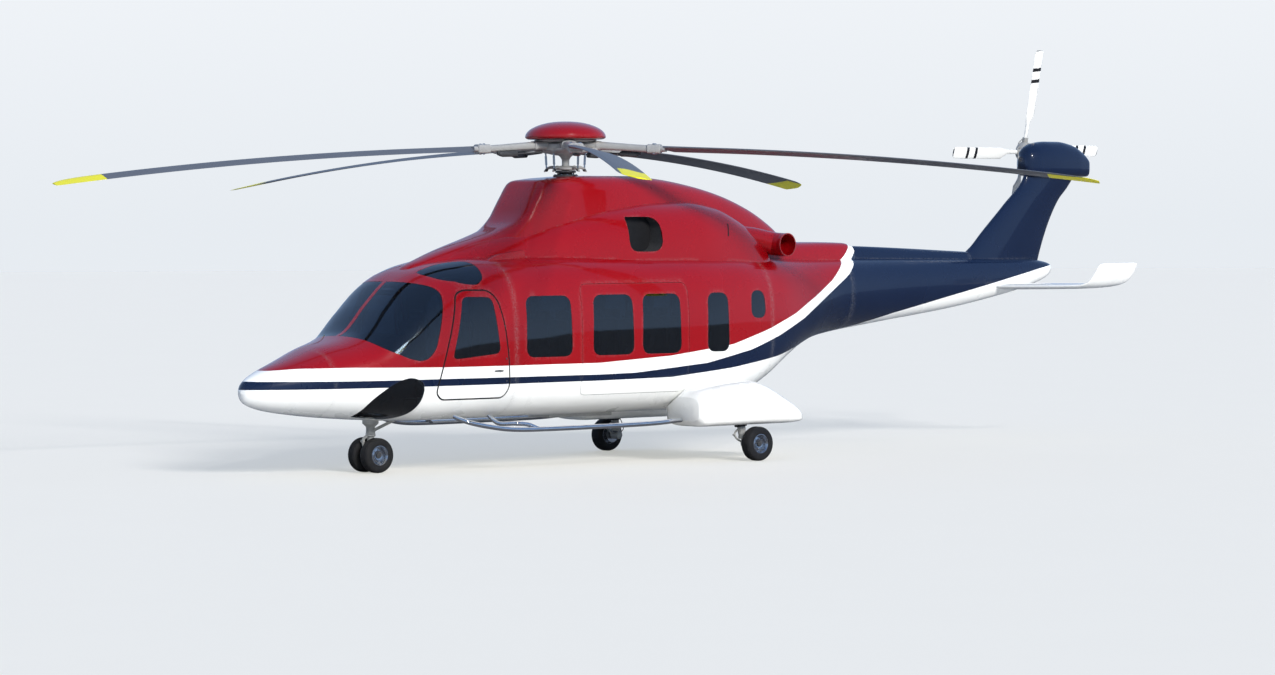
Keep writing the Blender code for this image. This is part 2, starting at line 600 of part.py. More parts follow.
# Main rotor
ARM_END_R = 1.36
BLADE_SECTION = [(0.0, 0.0), (0.04, 0.45), (0.15, 0.85), (0.35, 1.0), (0.65, 0.62), (1.0, 0.05),
                 (0.65, -0.38), (0.35, -0.62), (0.15, -0.58), (0.04, -0.36)]
BLADE_STATIONS = [ARM_END_R + TOUCH_GAP, 1.60, 2.05, 3.20, 4.60, 5.80, 6.70, 7.05, 7.30, 7.39]
LEAD_EDGE = [(1.36, -0.09), (1.60, -0.11), (2.05, -0.137), (6.90, -0.137), (7.20, -0.10), (7.31, -0.04),
             (7.40, 0.05)]
TRAIL_EDGE = [(1.36, 0.09), (1.60, 0.12), (2.05, 0.253), (7.34, 0.253), (7.40, 0.235)]
BLADE_HALF_THICKNESS = [(1.36, 0.034), (2.05, 0.026), (6.70, 0.021), (7.40, 0.010)]


def blade_azimuth(index):
    return ROTOR_REST_AZIMUTH + 2 * pi * index / BLADE_COUNT - pi / 2


def build_blade(index, material):
    rings = []
    for r in BLADE_STATIONS:
        lead, trail = along(LEAD_EDGE, r), along(TRAIL_EDGE, r)
        half = along(BLADE_HALF_THICKNESS, r)
        droop = -BLADE_DROOP * (r / ROTOR_RADIUS) ** 2
        ring = []
        for share, height in BLADE_SECTION:
            y = lead + (trail - lead) * share
            z = height * half
            ring.append((r, y * cos(BLADE_PITCH) + z * sin(BLADE_PITCH),
                         droop - y * sin(BLADE_PITCH) + z * cos(BLADE_PITCH)))
        rings.append(ring)
    blade = loft("main_blade_%d" % (index + 1), rings, material, smooth_angle=50)
    blade.location = (0, 0, HUB_Z)
    blade.rotation_euler = (0, 0, blade_azimuth(index))
    return blade


# Turned profiles of the hub's parts, as (distance from the axis, height above the hub's centre)
HUB_PROFILE = [(0.0, -0.10), (0.16, -0.10), (0.30, -0.06), (0.34, 0.0), (0.34, 0.06), (0.20, 0.10),
               (0.0, 0.10)]
MAST_PROFILE = [(0.0, -0.60), (MAST_RADIUS, -0.60), (MAST_RADIUS, 0.05), (0.0, 0.05)]
SWASH_PROFILE = [(0.0, -0.355), (0.28, -0.355), (0.30, -0.335), (0.30, -0.31), (0.12, -0.27), (0.0, -0.27)]
DOME_PROFILE = [(0.0, 0.112), (0.50, 0.112), (0.555, 0.135), (DOME_RADIUS, 0.165), (0.54, 0.22),
                (0.46, 0.285), (0.30, 0.345), (0.14, 0.37), (0.0, 0.374)]
# An arm's sections along its length, as (reach, half width, half height, rise), and their eight corners
ARM_SECTIONS = [(0.20, 0.12, 0.07, 0.0), (0.55, 0.085, 0.05, 0.0), (0.95, 0.07, 0.045, -0.008),
                (1.20, 0.10, 0.055, -0.013), (ARM_END_R, 0.10, 0.055, -0.017)]
ARM_CORNERS = [(-1, -0.5), (-0.5, -1), (0.5, -1), (1, -0.5), (1, 0.5), (0.5, 1), (-0.5, 1), (-1, 0.5)]
# Where an arm's pitch horn starts and ends, and where its rod meets the swash ring
HORN_ROOT = Vector((0.45, -0.05, -0.01))
HORN_TIP = Vector((0.22, -0.19, -0.04))
PITCH_ROD_FOOT = Vector((0.21, -0.18, -0.32))


def build_rotor_hub(material, dome_paint):
    upright = (0, 0, 1)
    hub = turned("rotor_hub", HUB_PROFILE, (0, 0, 0), upright, 20, material)
    hub.location = (0, 0, HUB_Z)
    parts = [turned("mast", MAST_PROFILE, (0, 0, 0), upright, 16, guide=True),
             turned("swash_ring", SWASH_PROFILE, (0, 0, 0), upright, 20, guide=True)]
    for index in range(BLADE_COUNT):
        turn = Matrix.Rotation(blade_azimuth(index), 4, "Z")
        arm_rings = [[turn @ Vector((r, y * half_width, rise + z * half_height)) for y, z in ARM_CORNERS]
                     for r, half_width, half_height, rise in ARM_SECTIONS]
        parts.append(loft("hub_arm", arm_rings, guide=True))
        parts.append(rod("pitch_horn", turn @ HORN_ROOT, turn @ HORN_TIP, 0.028, sides=6, guide=True))
        parts.append(rod("pitch_rod", turn @ HORN_TIP, turn @ PITCH_ROD_FOOT, 0.013, sides=6, guide=True))
    for part in parts:
        part.location = (0, 0, HUB_Z)
    fuse(hub, *parts)
    dome = turned("rotor_dome", DOME_PROFILE, (0, 0, 0), upright, 28, dome_paint)
    dome.location = (0, 0, HUB_Z)


# Tail
FIN_LEAD = [(1.95, 7.62), (2.20, 7.80), (2.30, 7.94), (2.53, 8.19), (2.94, 8.66), (3.36, 9.10), (3.66, 9.19)]
FIN_TRAIL = [(1.95, 9.36), (2.30, 9.48), (2.70, 9.66), (3.04, 9.88), (3.20, 10.05), (3.37, 10.20),
             (3.50, 10.31), (3.66, 10.34)]
FIN_LEVELS = [1.95, 2.20, 2.30, 2.53, 2.94, 3.20, 3.37, 3.50, 3.66]
FIN_HALF_THICKNESS = 0.11
# Sections of the fin's head, as (station, half width, top, bottom)
HEAD_STATIONS = [(9.06, 0.04, 3.70, 3.60), (9.13, 0.15, 3.83, 3.50), (9.25, 0.20, 3.885, 3.44),
                 (9.45, 0.235, 3.92, 3.40), (9.70, 0.25, 3.93, 3.40), (9.985, 0.235, 3.895, 3.43),
                 (10.24, 0.20, 3.81, 3.48), (10.38, 0.16, 3.71, 3.52), (10.41, 0.10, 3.66, 3.54)]
# The tailplane's sections from the middle to the tip, as
# (x, height, leading edge, trailing edge, half thickness)
STABILISER = [(0.00, 1.70, 8.20, 9.12, 0.055), (1.25, 1.71, 8.58, 9.44, 0.045),
              (1.48, 1.73, 8.70, 9.54, 0.042), (1.60, 1.80, 8.82, 9.64, 0.036),
              (1.67, 1.91, 8.98, 9.74, 0.030), (1.71, 2.05, 9.20, 9.83, 0.020)]


def build_fin(paint):
    rings = []
    count = 14
    for z in FIN_LEVELS:
        lead, trail = along(FIN_LEAD, z), along(FIN_TRAIL, z)
        ring = []
        for k in range(count):
            angle = 2 * pi * k / count
            share = (1 - cos(angle)) / 2
            thickness = FIN_HALF_THICKNESS * sin(angle) * (1.15 - 0.45 * share)
            ring.append((thickness, lead + (trail - lead) * share, z))
        rings.append(ring)
    fin = loft("tail_fin", rings, paint)
    head = loft("fin_head", [section_ring(y, 0, w, top, (top + low) / 2, low, 2.2, 2.2, 16)
                             for y, w, top, low in HEAD_STATIONS], guide=True)
    outward = tail_axis()
    stub = rod("tail_gearbox_stub", TAIL_HUB - outward * 0.55, TAIL_HUB - outward * 0.12, 0.12, 0.10, 16,
               guide=True)
    fuse(fin, head, stub)
    return cut(fin, skin("fin_seat", BOOM_FRONT_Y), shaft_cover_space("fin_front"))


def shaft_cover_space(name):
    half_width = SHAFT_COVER_HALF_WIDTH + TOUCH_GAP
    stations = (*SHAFT_COVER_STATIONS[:-1], SHAFT_COVER_STATIONS[-1] + TOUCH_GAP)
    rings = [section_ring(y, 0, half_width, along(SHAFT_COVER_TOP, y) + TOUCH_GAP, 2.0, 1.9, 2.2, 4.0, 16)
             for y in stations]
    return loft(name, rings, guide=True)


def stabiliser_form(name, margin=0.0, material=None, guide=False):
    half = STABILISER[1:]
    stations = [(-x, z, lead, trail, t) for x, z, lead, trail, t in reversed(half)] + STABILISER
    rings = []
    count = 12
    for k, (x, z, lead, trail, thickness) in enumerate(stations):
        before, after = stations[max(0, k - 1)], stations[min(len(stations) - 1, k + 1)]
        path = Vector((after[0] - before[0], 0, after[1] - before[1])).normalized()
        normal = Vector((-path.z, 0, path.x))
        ring = []
        for j in range(count):
            angle = 2 * pi * j / count
            share = (1 - cos(angle)) / 2
            chord = lead - margin + (trail - lead + 2 * margin) * share
            offset = (thickness + margin) * sin(angle) * (1.1 - 0.4 * share)
            ring.append(Vector((x, chord, z)) + normal * offset)
        rings.append(ring)
    return loft(name, rings, material, guide)


TAIL_SPAR_HALF_WIDTH = 0.07
# Sections of a pair of tail blades, as (reach, chord from, chord to, half thickness)
TAIL_BLADE_RINGS = [(-1.60, -0.03, 0.09, 0.008), (-1.56, -0.06, 0.115, 0.012), (-0.57, -0.06, 0.115, 0.015),
                    (-0.45, -TAIL_SPAR_HALF_WIDTH, TAIL_SPAR_HALF_WIDTH, 0.021),
                    (0.45, -TAIL_SPAR_HALF_WIDTH, TAIL_SPAR_HALF_WIDTH, 0.021),
                    (0.57, -0.115, 0.06, 0.015), (1.56, -0.115, 0.06, 0.012), (1.60, -0.09, 0.03, 0.008)]


# The way the tail rotor's thrust line points, out to starboard and up
def tail_axis():
    return Vector((-cos(TAIL_CANT), 0, sin(TAIL_CANT)))


def build_tail_rotor(white, grey):
    outward = tail_axis()
    up = Vector((sin(TAIL_CANT), 0, cos(TAIL_CANT)))
    fore = Vector((0, -1, 0))
    hub = turned("tail_rotor_hub", [(0.0, -0.11), (0.09, -0.11), (0.10, -0.03), (0.15, -0.02), (0.15, 0.05),
                                    (0.15, 0.10), (0.0, 0.13)], (0, 0, 0), outward, 16, grey)
    for word, first, other, shift in (("vertical", up, fore, 0.062), ("level", fore, up, 0.0)):
        rings = []
        for r, chord_low, chord_high, half in TAIL_BLADE_RINGS:
            rings.append([first * r + other * (chord_low + (chord_high - chord_low) * share)
                          + outward * (half * lift + shift)
                          for share, lift in ((0, 0), (0.12, 0.8), (0.4, 1.0), (1, 0.1), (1, -0.1),
                                              (0.4, -1.0), (0.12, -0.8))])
        pair = loft("tail_blades_" + word, rings, white)
        pair.location = TAIL_HUB
        edge = TAIL_SPAR_HALF_WIDTH + TOUCH_GAP
        slot = loft("hub_slot", [[first * r + other * c + outward * (t + shift) for c, t in
                                  ((-edge, -0.0215), (edge, -0.0215), (edge, 0.0215), (-edge, 0.0215))]
                                 for r in (-0.4, 0.4)], guide=True)
        slot.location = TAIL_HUB
        cut(hub, slot)
    hub.location = TAIL_HUB


# Landing gear and outside equipment
# Sections of a sponson, as (station, half width, top, bottom)
SPONSON = [(1.06, 0.10, 0.14, -0.02), (1.12, 0.23, 0.26, -0.08), (1.35, 0.36, 0.36, -0.12),
           (1.75, 0.41, 0.46, -0.145), (2.10, 0.42, 0.50, -0.145), (2.40, 0.41, 0.46, -0.14),
           (2.70, 0.37, 0.31, -0.12), (2.90, 0.28, 0.14, -0.10), (3.00, 0.14, 0.03, -0.07)]
SPONSON_X = 1.27
AXLE_RADIUS = 0.032
AXLE_CLEARANCE = 0.005
STEP_TUBE_RADIUS = 0.034
STEP_ROUTE = [(0.84, -2.80, 0.10), (1.00, -2.62, 0.045), (1.13, -2.30, -0.02), (1.19, -1.87, -0.075),
              (1.21, -1.20, -0.085), (1.22, 0.40, -0.078), (1.24, 1.045, -0.045)]
STEP_BRACKET_ROUTE = [(0.80, -2.00, 0.09), (0.98, -1.85, -0.01), (1.10, -1.66, -0.02), (1.205, -1.48, -0.08)]
FORK_TOP_Z = -0.126
FORK_COLLAR_HEIGHT = 0.029


def build_main_gear(word, side, white, grey, black):
    rings = [section_ring(y, side * SPONSON_X, w, top, (top + 2 * low) / 3, low, 2.4, 3.0, 20)
             for y, w, top, low in SPONSON]
    sponson = loft("sponson_" + word, rings, white)
    cut(sponson, skin("sponson_seat", NOSE_TIP_Y, BOOM_FRONT_Y))
    wheel = Vector((side * MAIN_WHEEL.x, MAIN_WHEEL.y, MAIN_WHEEL.z))
    top = Vector((side * 1.36, MAIN_WHEEL.y - 0.10, 0.10))
    foot = Vector((side * 1.40, MAIN_WHEEL.y - 0.04, -0.33))
    knee = Vector((side * 1.41, MAIN_WHEEL.y, MAIN_WHEEL.z))
    leg = rod("main_leg_" + word, top, foot, 0.062, sides=14, material=grey)
    fuse(leg, rod("leg_piston", foot + (top - foot) * 0.06, knee, 0.045, sides=12, guide=True),
         rod("leg_knuckle", knee - Vector((side * 0.055, 0, 0)), knee + Vector((side * 0.09, 0, 0)), 0.06,
             sides=14, guide=True),
         rod("stub_axle", knee, wheel + Vector((side * 0.075, 0, 0)), AXLE_RADIUS, sides=12, guide=True))
    cut(sponson, rod("leg_socket", top + (top - foot) * 0.01, foot, 0.062 + 0.002, sides=14, guide=True))
    tyre_wheel("main_wheel_" + word, wheel, MAIN_TYRE_RADIUS, MAIN_TYRE_WIDTH, black)


# A wheel's turned profile, as (distance from the axle, distance across): one side from the bore outwards,
# then the same points mirrored back to the bore
def wheel_profile(radius, width, bore):
    rim = radius * 0.56
    half = width / 2
    side = [(bore, half * 0.60), (rim * 0.78, half * 0.45), (rim, half * 0.90), (radius * 0.82, half),
            (radius * 0.95, half * 0.76), (radius, half * 0.40)]
    return [(r, -across) for r, across in side] + list(reversed(side))


def tyre_wheel(name, centre, radius, width, material):
    wheel = turned(name, wheel_profile(radius, width, AXLE_RADIUS + AXLE_CLEARANCE), (0, 0, 0), (1, 0, 0), 22,
                   material, closed=True)
    wheel.location = centre
    return wheel


def build_nose_gear(grey, black):
    centre = Vector((0, NOSE_WHEEL_Y, GROUND_Z + NOSE_TYRE_RADIUS))
    on_leg = [Vector((0, NOSE_WHEEL_Y, z)) for z in (0.16, -0.01, -0.12)]
    leg = rod("nose_leg", on_leg[0], on_leg[2], 0.060, sides=16, material=grey)
    flange = rod("leg_flange", on_leg[0], on_leg[1], 0.11, sides=16, guide=True)
    brace = rod("leg_brace", (0, NOSE_WHEEL_Y + 0.42, 0.06), (0, NOSE_WHEEL_Y, -0.09), 0.022, sides=8,
                guide=True)
    fuse(leg, flange, brace)
    cut(leg, skin("leg_seat", NOSE_TIP_Y, CABIN_BACK_Y))
    fork_top = Vector((0, NOSE_WHEEL_Y, FORK_TOP_Z))
    fork = rod("nose_fork", fork_top, centre, 0.042, sides=14, material=grey)
    collar = rod("fork_collar", fork_top, fork_top - Vector((0, 0, FORK_COLLAR_HEIGHT)), 0.068, sides=16,
                 guide=True)
    half_axle = Vector((NOSE_WHEEL_SPACING / 2 + 0.065, 0, 0))
    axle = rod("nose_axle", centre - half_axle, centre + half_axle, AXLE_RADIUS, sides=12, guide=True)
    fuse(fork, collar, axle)
    set_origin(fork, fork_top)
    return centre


# A round tube along a smooth curve through the points
def tube(name, points, radius, sides=8, steps=3, material=None, guide=False):
    points = [Vector(point) for point in points]
    padded = [points[0] * 2 - points[1]] + points + [points[-1] * 2 - points[-2]]
    path = []
    for a, b, c, d in zip(padded, padded[1:], padded[2:], padded[3:]):
        for step in range(steps):
            t = step / steps
            path.append(0.5 * (2 * b + (c - a) * t + (2 * a - 5 * b + 4 * c - d) * t ** 2
                               + (3 * b - a - 3 * c + d) * t ** 3))
    path.append(points[-1])
    rings = []
    across = None
    for k, centre in enumerate(path):
        ahead = (path[min(k + 1, len(path) - 1)] - path[max(k - 1, 0)]).normalized()
        across = ahead.orthogonal() if across is None else across - ahead * across.dot(ahead)
        across.normalize()
        beside = ahead.cross(across)
        rings.append([centre + (across * cos(2 * pi * j / sides) + beside * sin(2 * pi * j / sides)) * radius
                      for j in range(sides)])
    return loft(name, rings, material, guide)


def build_step(word, side, chrome):
    route = [(side * x, y, z) for x, y, z in STEP_ROUTE]
    step = tube("step_" + word, route, STEP_TUBE_RADIUS, material=chrome)
    bracket_route = [(side * x, y, z) for x, y, z in STEP_BRACKET_ROUTE]
    fuse(step, tube("step_bracket", bracket_route, 0.024, 6, 2, guide=True))
    return cut(step, skin("step_seat", NOSE_TIP_Y, BOOM_FRONT_Y))


# A chair seen from the side, as (distance behind its front edge, height above the floor)
SEAT_PROFILE = [(0.00, 0.00), (0.00, 0.32), (-0.04, 0.44), (0.03, 0.47), (0.40, 0.43), (0.46, 0.50),
                (0.56, 1.00), (0.62, 1.02), (0.66, 0.98), (0.56, 0.40), (0.46, 0.00)]
PILOT_SEAT_Y = -2.78
PILOT_SEAT_X = (0.24, 0.74)
CABIN_SEAT_ROWS = (-1.15, 0.10, 1.35)
CABIN_SEAT_HALF_WIDTH = 0.86
# Instrument panel and centre console in side view, as (station, height)
PANEL_OUTLINE = [(-3.80, 1.02), (-3.70, 1.08), (-3.34, 1.22), (-3.24, 1.21), (-3.22, 1.16), (-3.34, 0.70),
                 (-3.66, 0.66)]
CONSOLE_OUTLINE = [(-3.62, 0.02), (-3.62, 0.90), (-3.32, 0.80), (-3.16, 0.66), (-2.70, 0.58), (-2.62, 0.50),
                   (-2.62, 0.30), (-3.00, 0.02)]
PANEL_HALF_WIDTH = 0.62
CONSOLE_HALF_WIDTH = 0.15


def build_seat(name, front_y, low_x, high_x, material):
    outline = [(front_y + y, FLOOR_Z + TOUCH_GAP + z) for y, z in SEAT_PROFILE]
    return side_prism(name, outline, low_x, high_x, material)


def build_interior(seat_cloth, trim):
    inner_x, outer_x = PILOT_SEAT_X
    build_seat("pilot_seat_port", PILOT_SEAT_Y, inner_x, outer_x, seat_cloth)
    build_seat("pilot_seat_starboard", PILOT_SEAT_Y, -outer_x, -inner_x, seat_cloth)
    for row, front_y in enumerate(CABIN_SEAT_ROWS):
        build_seat("cabin_seats_row_%d" % (row + 1), front_y, -CABIN_SEAT_HALF_WIDTH, CABIN_SEAT_HALF_WIDTH,
                   seat_cloth)
    panel = side_prism("instrument_panel", PANEL_OUTLINE, -PANEL_HALF_WIDTH, PANEL_HALF_WIDTH, trim)
    fuse(panel, side_prism("console", CONSOLE_OUTLINE, -CONSOLE_HALF_WIDTH, CONSOLE_HALF_WIDTH, guide=True))
    room = body_loft("panel_room", -4.95, -2.0, inset=WALL + TOUCH_GAP, guide=True)
    under = box("panel_floor", (-1.5, FLOOR_FRONT_Y - WALL - TOUCH_GAP, -0.3), (1.5, 0, FLOOR_Z + TOUCH_GAP),
                guide=True)
    keep(panel, cut(room, under))


def build_hook_plate(grey):
    plate = box("belly_hook_plate", (-0.24, -0.50, 0.0), (0.24, 0.62, 0.09), grey)
    cut(plate, skin("plate_seat", -1.80, CABIN_BACK_Y))


def build_helicopter():
    clear_scene()
    red = make_material("red paint", PAINT_RED, 0.15)
    white = make_material("white paint", PAINT_WHITE, 0.15)
    navy = make_material("navy paint", PAINT_NAVY, 0.15)
    glass = make_material("tinted glass", GLASS_TINT, 0.05, alpha=0.6)
    blade = make_material("blade grey", BLADE_GREY, 0.45)
    hub = make_material("hub grey", HUB_GREY, 0.40, 0.6)
    chrome = make_material("bright steel", STEEL, 0.12, 1.0)
    steel = make_material("engine steel", HUB_GREY, 0.5, 0.9)
    tyre = make_material("tyre rubber", TYRE_BLACK, 0.8)
    gear = make_material("gear paint", (0.35, 0.36, 0.37), 0.4)
    trim = make_material("black trim", TRIM_GREY, 0.6)
    cloth = make_material("seat cloth", SEAT_GREY, 0.9)

    build_nose(white)
    build_cockpit_shell(red)
    build_cabin_shell(red)
    build_underfloor(white)
    build_rear_fuselage(red)
    boom = build_tail_boom(navy)
    build_glass(glass)
    build_fairings(red, navy)
    build_engines(steel, hub)
    build_fin(navy)
    stabiliser_form("stabiliser", material=white)
    cut(boom, stabiliser_form("stabiliser_slot", TOUCH_GAP, guide=True))
    build_rotor_hub(hub, red)
    for index in range(BLADE_COUNT):
        build_blade(index, blade)
    build_tail_rotor(white, hub)
    for word, side in (("port", 1), ("starboard", -1)):
        build_cockpit_door("cockpit_door_" + word, side, red)
        build_cabin_door("cabin_door_" + word, side, red)
        build_main_gear(word, side, white, gear, tyre)
        build_step(word, side, chrome)
    centre = build_nose_gear(gear, tyre)
    for word, side in (("port", 1), ("starboard", -1)):
        tyre_wheel("nose_wheel_" + word, centre + Vector((side * NOSE_WHEEL_SPACING / 2, 0, 0)),
                   NOSE_TYRE_RADIUS, NOSE_TYRE_WIDTH, tyre)
    build_interior(cloth, trim)
    build_hook_plate(gear)


build_helicopter()
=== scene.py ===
# Looks of a medium twin-engine helicopter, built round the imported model.
# Metres, +Z up, nose towards -Y, port side towards +X.

from math import cos, pi, radians, sin

import bmesh
import bpy
import numpy as np
from mathutils import Matrix, Vector


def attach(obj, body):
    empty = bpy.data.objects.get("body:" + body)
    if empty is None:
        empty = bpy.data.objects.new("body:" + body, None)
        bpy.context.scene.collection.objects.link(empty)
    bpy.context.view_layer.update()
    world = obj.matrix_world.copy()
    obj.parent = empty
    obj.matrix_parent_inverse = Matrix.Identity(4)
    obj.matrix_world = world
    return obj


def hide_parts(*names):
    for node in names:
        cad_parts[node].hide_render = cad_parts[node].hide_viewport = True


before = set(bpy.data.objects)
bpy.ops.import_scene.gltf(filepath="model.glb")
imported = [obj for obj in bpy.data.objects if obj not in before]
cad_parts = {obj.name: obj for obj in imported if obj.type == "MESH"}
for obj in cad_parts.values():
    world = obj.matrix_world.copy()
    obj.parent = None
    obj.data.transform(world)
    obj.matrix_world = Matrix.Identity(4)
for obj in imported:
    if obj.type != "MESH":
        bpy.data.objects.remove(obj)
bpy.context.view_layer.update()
print("frame loaded:", len(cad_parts), "nodes")

sides = {"Port": 1, "Starboard": -1}


# Body lines, each a list of (station along Y, value)
fuselage = {
    "top": [(-5.47, 0.50), (-5.44, 0.60), (-5.36, 0.67), (-5.16, 0.77), (-4.80, 0.90), (-4.40, 1.05),
            (-3.84, 1.24), (-3.46, 1.62), (-3.13, 1.92), (-2.85, 2.07), (-2.50, 2.17), (-2.00, 2.24),
            (-1.00, 2.27), (1.50, 2.26), (3.10, 2.22), (4.25, 2.18), (5.50, 2.16), (9.10, 2.12),
            (9.45, 2.08), (9.62, 2.04), (9.68, 2.00)],
    "bottom": [(-5.47, 0.48), (-5.44, 0.38), (-5.36, 0.32), (-5.10, 0.24), (-4.65, 0.17), (-4.20, 0.12),
               (-3.60, 0.075), (-2.90, 0.045), (1.60, 0.045), (2.60, 0.17), (3.10, 0.36), (3.50, 0.60),
               (3.95, 0.84), (4.35, 0.98), (4.85, 1.07), (5.90, 1.20), (7.40, 1.38), (8.45, 1.55),
               (9.00, 1.66), (9.40, 1.77), (9.60, 1.86), (9.68, 1.93)],
    "wide": [(-5.47, 0.49), (-4.40, 0.60), (-3.40, 0.76), (-2.30, 0.88), (0.00, 0.92), (2.60, 1.02),
             (3.95, 1.38), (4.85, 1.62), (5.90, 1.69), (7.40, 1.75), (8.45, 1.84), (9.20, 1.93),
             (9.68, 1.965)],
    "halfWidth": [(-5.47, 0.02), (-5.44, 0.10), (-5.36, 0.19), (-5.16, 0.33), (-4.80, 0.53), (-4.40, 0.72),
                  (-3.90, 0.90), (-3.40, 1.02), (-2.90, 1.10), (-2.30, 1.15), (-1.50, 1.17), (1.50, 1.17),
                  (2.50, 1.10), (3.20, 0.98), (4.00, 0.76), (4.90, 0.54), (6.00, 0.42), (7.50, 0.33),
                  (8.50, 0.26), (9.20, 0.20), (9.50, 0.15), (9.62, 0.09), (9.68, 0.02)],
    "topRound": [(-5.47, 2.0), (-4.40, 2.4), (-3.40, 2.7), (-2.50, 3.2), (-1.40, 3.4), (-0.40, 3.9),
                 (2.30, 3.9), (3.20, 3.3), (4.50, 2.6), (9.68, 2.2)],
    "bottomRound": [(-5.47, 2.0), (-4.40, 2.4), (-2.90, 3.2), (1.50, 3.2), (3.50, 2.5), (9.68, 2.1)]}
deckBase = {"wide": 1.90, "bottom": 1.85, "bottomRound": 4.0}
pylonForm = {**deckBase, "topRound": [(-2.88, 2.2), (-2.20, 2.6), (-1.35, 3.8), (-1.05, 7.0), (-0.60, 7.5),
                                      (-0.20, 5.5), (1.00, 3.6), (2.10, 2.6), (4.13, 2.1)],
             "top": [(-2.88, 2.04), (-2.80, 2.115), (-2.54, 2.22), (-2.17, 2.35), (-1.60, 2.52),
                     (-1.36, 2.60), (-1.17, 2.69), (-1.03, 2.82), (-0.93, 2.98), (-0.83, 3.14),
                     (-0.765, 3.24), (-0.735, 3.272), (-0.70, 3.285), (-0.60, 3.298), (-0.40, 3.32),
                     (0.20, 3.35), (1.00, 3.35), (1.60, 3.31), (2.10, 3.24), (2.70, 3.11), (3.30, 2.90),
                     (3.75, 2.66), (4.05, 2.43), (4.13, 2.35)],
             "halfWidth": [(-2.88, 0.20), (-2.80, 0.23), (-2.54, 0.33), (-2.17, 0.42), (-1.46, 0.49),
                           (-0.86, 0.49), (0.20, 0.49), (1.60, 0.46), (2.45, 0.40), (3.75, 0.26),
                           (4.05, 0.16), (4.13, 0.14)]}
cowlForm = {**deckBase, "topRound": [(-2.55, 2.4), (-1.25, 3.0), (1.00, 3.2), (3.38, 2.8)],
            "top": [(-2.55, 2.16), (-2.35, 2.26), (-2.00, 2.39), (-1.60, 2.505), (-1.25, 2.595),
                    (-0.88, 2.68), (-0.40, 2.79), (0.20, 2.90), (0.70, 2.96), (1.20, 3.00), (1.85, 3.01),
                    (2.40, 2.94), (2.80, 2.79), (3.05, 2.64), (3.20, 2.52), (3.32, 2.37), (3.38, 2.26)],
            "halfWidth": [(-2.55, 0.34), (-2.20, 0.46), (-1.70, 0.57), (-1.25, 0.63), (-0.60, 0.70),
                          (0.20, 0.78), (0.70, 0.82), (1.85, 0.83), (2.60, 0.77), (3.05, 0.70),
                          (3.32, 0.61), (3.38, 0.55)]}
rearDeckForm = {**deckBase, "topRound": 3.4,
                "top": [(2.90, 2.41), (4.60, 2.40), (5.20, 2.385), (5.40, 2.34)],
                "halfWidth": [(2.90, 0.46), (3.60, 0.42), (4.60, 0.30), (5.20, 0.22), (5.40, 0.16)]}
shaftCoverForm = {"wide": 2.0, "bottom": 1.98, "bottomRound": 4.0, "topRound": 2.2, "halfWidth": 0.14,
                  "top": [(5.10, 2.345), (5.50, 2.335), (7.70, 2.24), (8.30, 2.21)]}
finHeadForm = {"topRound": 2.2, "bottomRound": 5.0,
               "top": [(9.06, 3.70), (9.09, 3.78), (9.16, 3.85), (9.30, 3.905), (9.55, 3.93), (9.80, 3.93),
                       (10.10, 3.885), (10.28, 3.80), (10.37, 3.72), (10.41, 3.66)],
               "bottom": [(9.06, 3.52), (9.09, 3.44), (9.16, 3.40), (9.30, 3.385), (10.38, 3.385),
                          (10.41, 3.40)],
               "wide": 3.585,
               "halfWidth": [(9.06, 0.08), (9.09, 0.13), (9.16, 0.18), (9.30, 0.225), (9.70, 0.25),
                             (10.10, 0.235), (10.28, 0.21), (10.38, 0.19), (10.41, 0.165)]}
sponsonForm = {"topRound": 3.6, "bottomRound": 4.5,
               "top": [(1.06, 0.27), (1.075, 0.315), (1.11, 0.345), (1.20, 0.375), (1.45, 0.42),
                       (1.75, 0.455), (2.12, 0.475), (2.28, 0.445), (2.60, 0.285), (2.90, 0.09),
                       (2.97, 0.02), (3.00, -0.03)],
               "bottom": [(1.06, -0.06), (1.075, -0.10), (1.11, -0.125), (1.20, -0.14), (2.70, -0.14),
                          (2.92, -0.125), (2.98, -0.11), (3.00, -0.085)],
               "wide": [(1.06, 0.05), (2.20, 0.05), (2.70, 0.02), (2.95, -0.045), (3.00, -0.058)],
               "halfWidth": [(1.06, 0.33), (1.075, 0.37), (1.11, 0.40), (1.20, 0.415), (1.60, 0.42),
                             (2.60, 0.42), (2.88, 0.40), (2.97, 0.36), (3.00, 0.30)]}
sponsonX = 1.27


# A curve through the points of a line that never overshoots them; a plain number stays itself
def along(line, stations):
    stations = np.asarray(stations, float)
    if not isinstance(line, list):
        return np.full(stations.shape, float(line))
    knots = np.array(line)
    spans = np.diff(knots[:, 0])
    slopes = np.diff(knots[:, 1]) / spans
    before, after = slopes[:-1], slopes[1:]
    inner = np.where(before * after <= 0, 0.0,
                     2 * before * after / np.where(before + after == 0, 1.0, before + after))
    tangents = np.concatenate([slopes[:1], inner, slopes[-1:]])
    index = np.clip(np.searchsorted(knots[:, 0], stations, side="right") - 1, 0, len(spans) - 1)
    span = spans[index]
    t = np.clip((stations - knots[index, 0]) / span, 0, 1)
    return ((2 * t ** 3 - 3 * t ** 2 + 1) * knots[index, 1] + (t ** 3 - 2 * t ** 2 + t) * span
            * tangents[index]
            + (3 * t ** 2 - 2 * t ** 3) * knots[index + 1, 1] + (t ** 3 - t ** 2) * span
            * tangents[index + 1])


def formAt(form, stations, offset=0.0, ceiling=None):
    top = along(form["top"], stations) + offset
    if ceiling is not None:
        top = np.minimum(top, ceiling)
    return (along(form["halfWidth"], stations) + offset, top, along(form["wide"], stations),
            along(form["bottom"], stations) - offset, along(form["topRound"], stations),
            along(form["bottomRound"], stations))


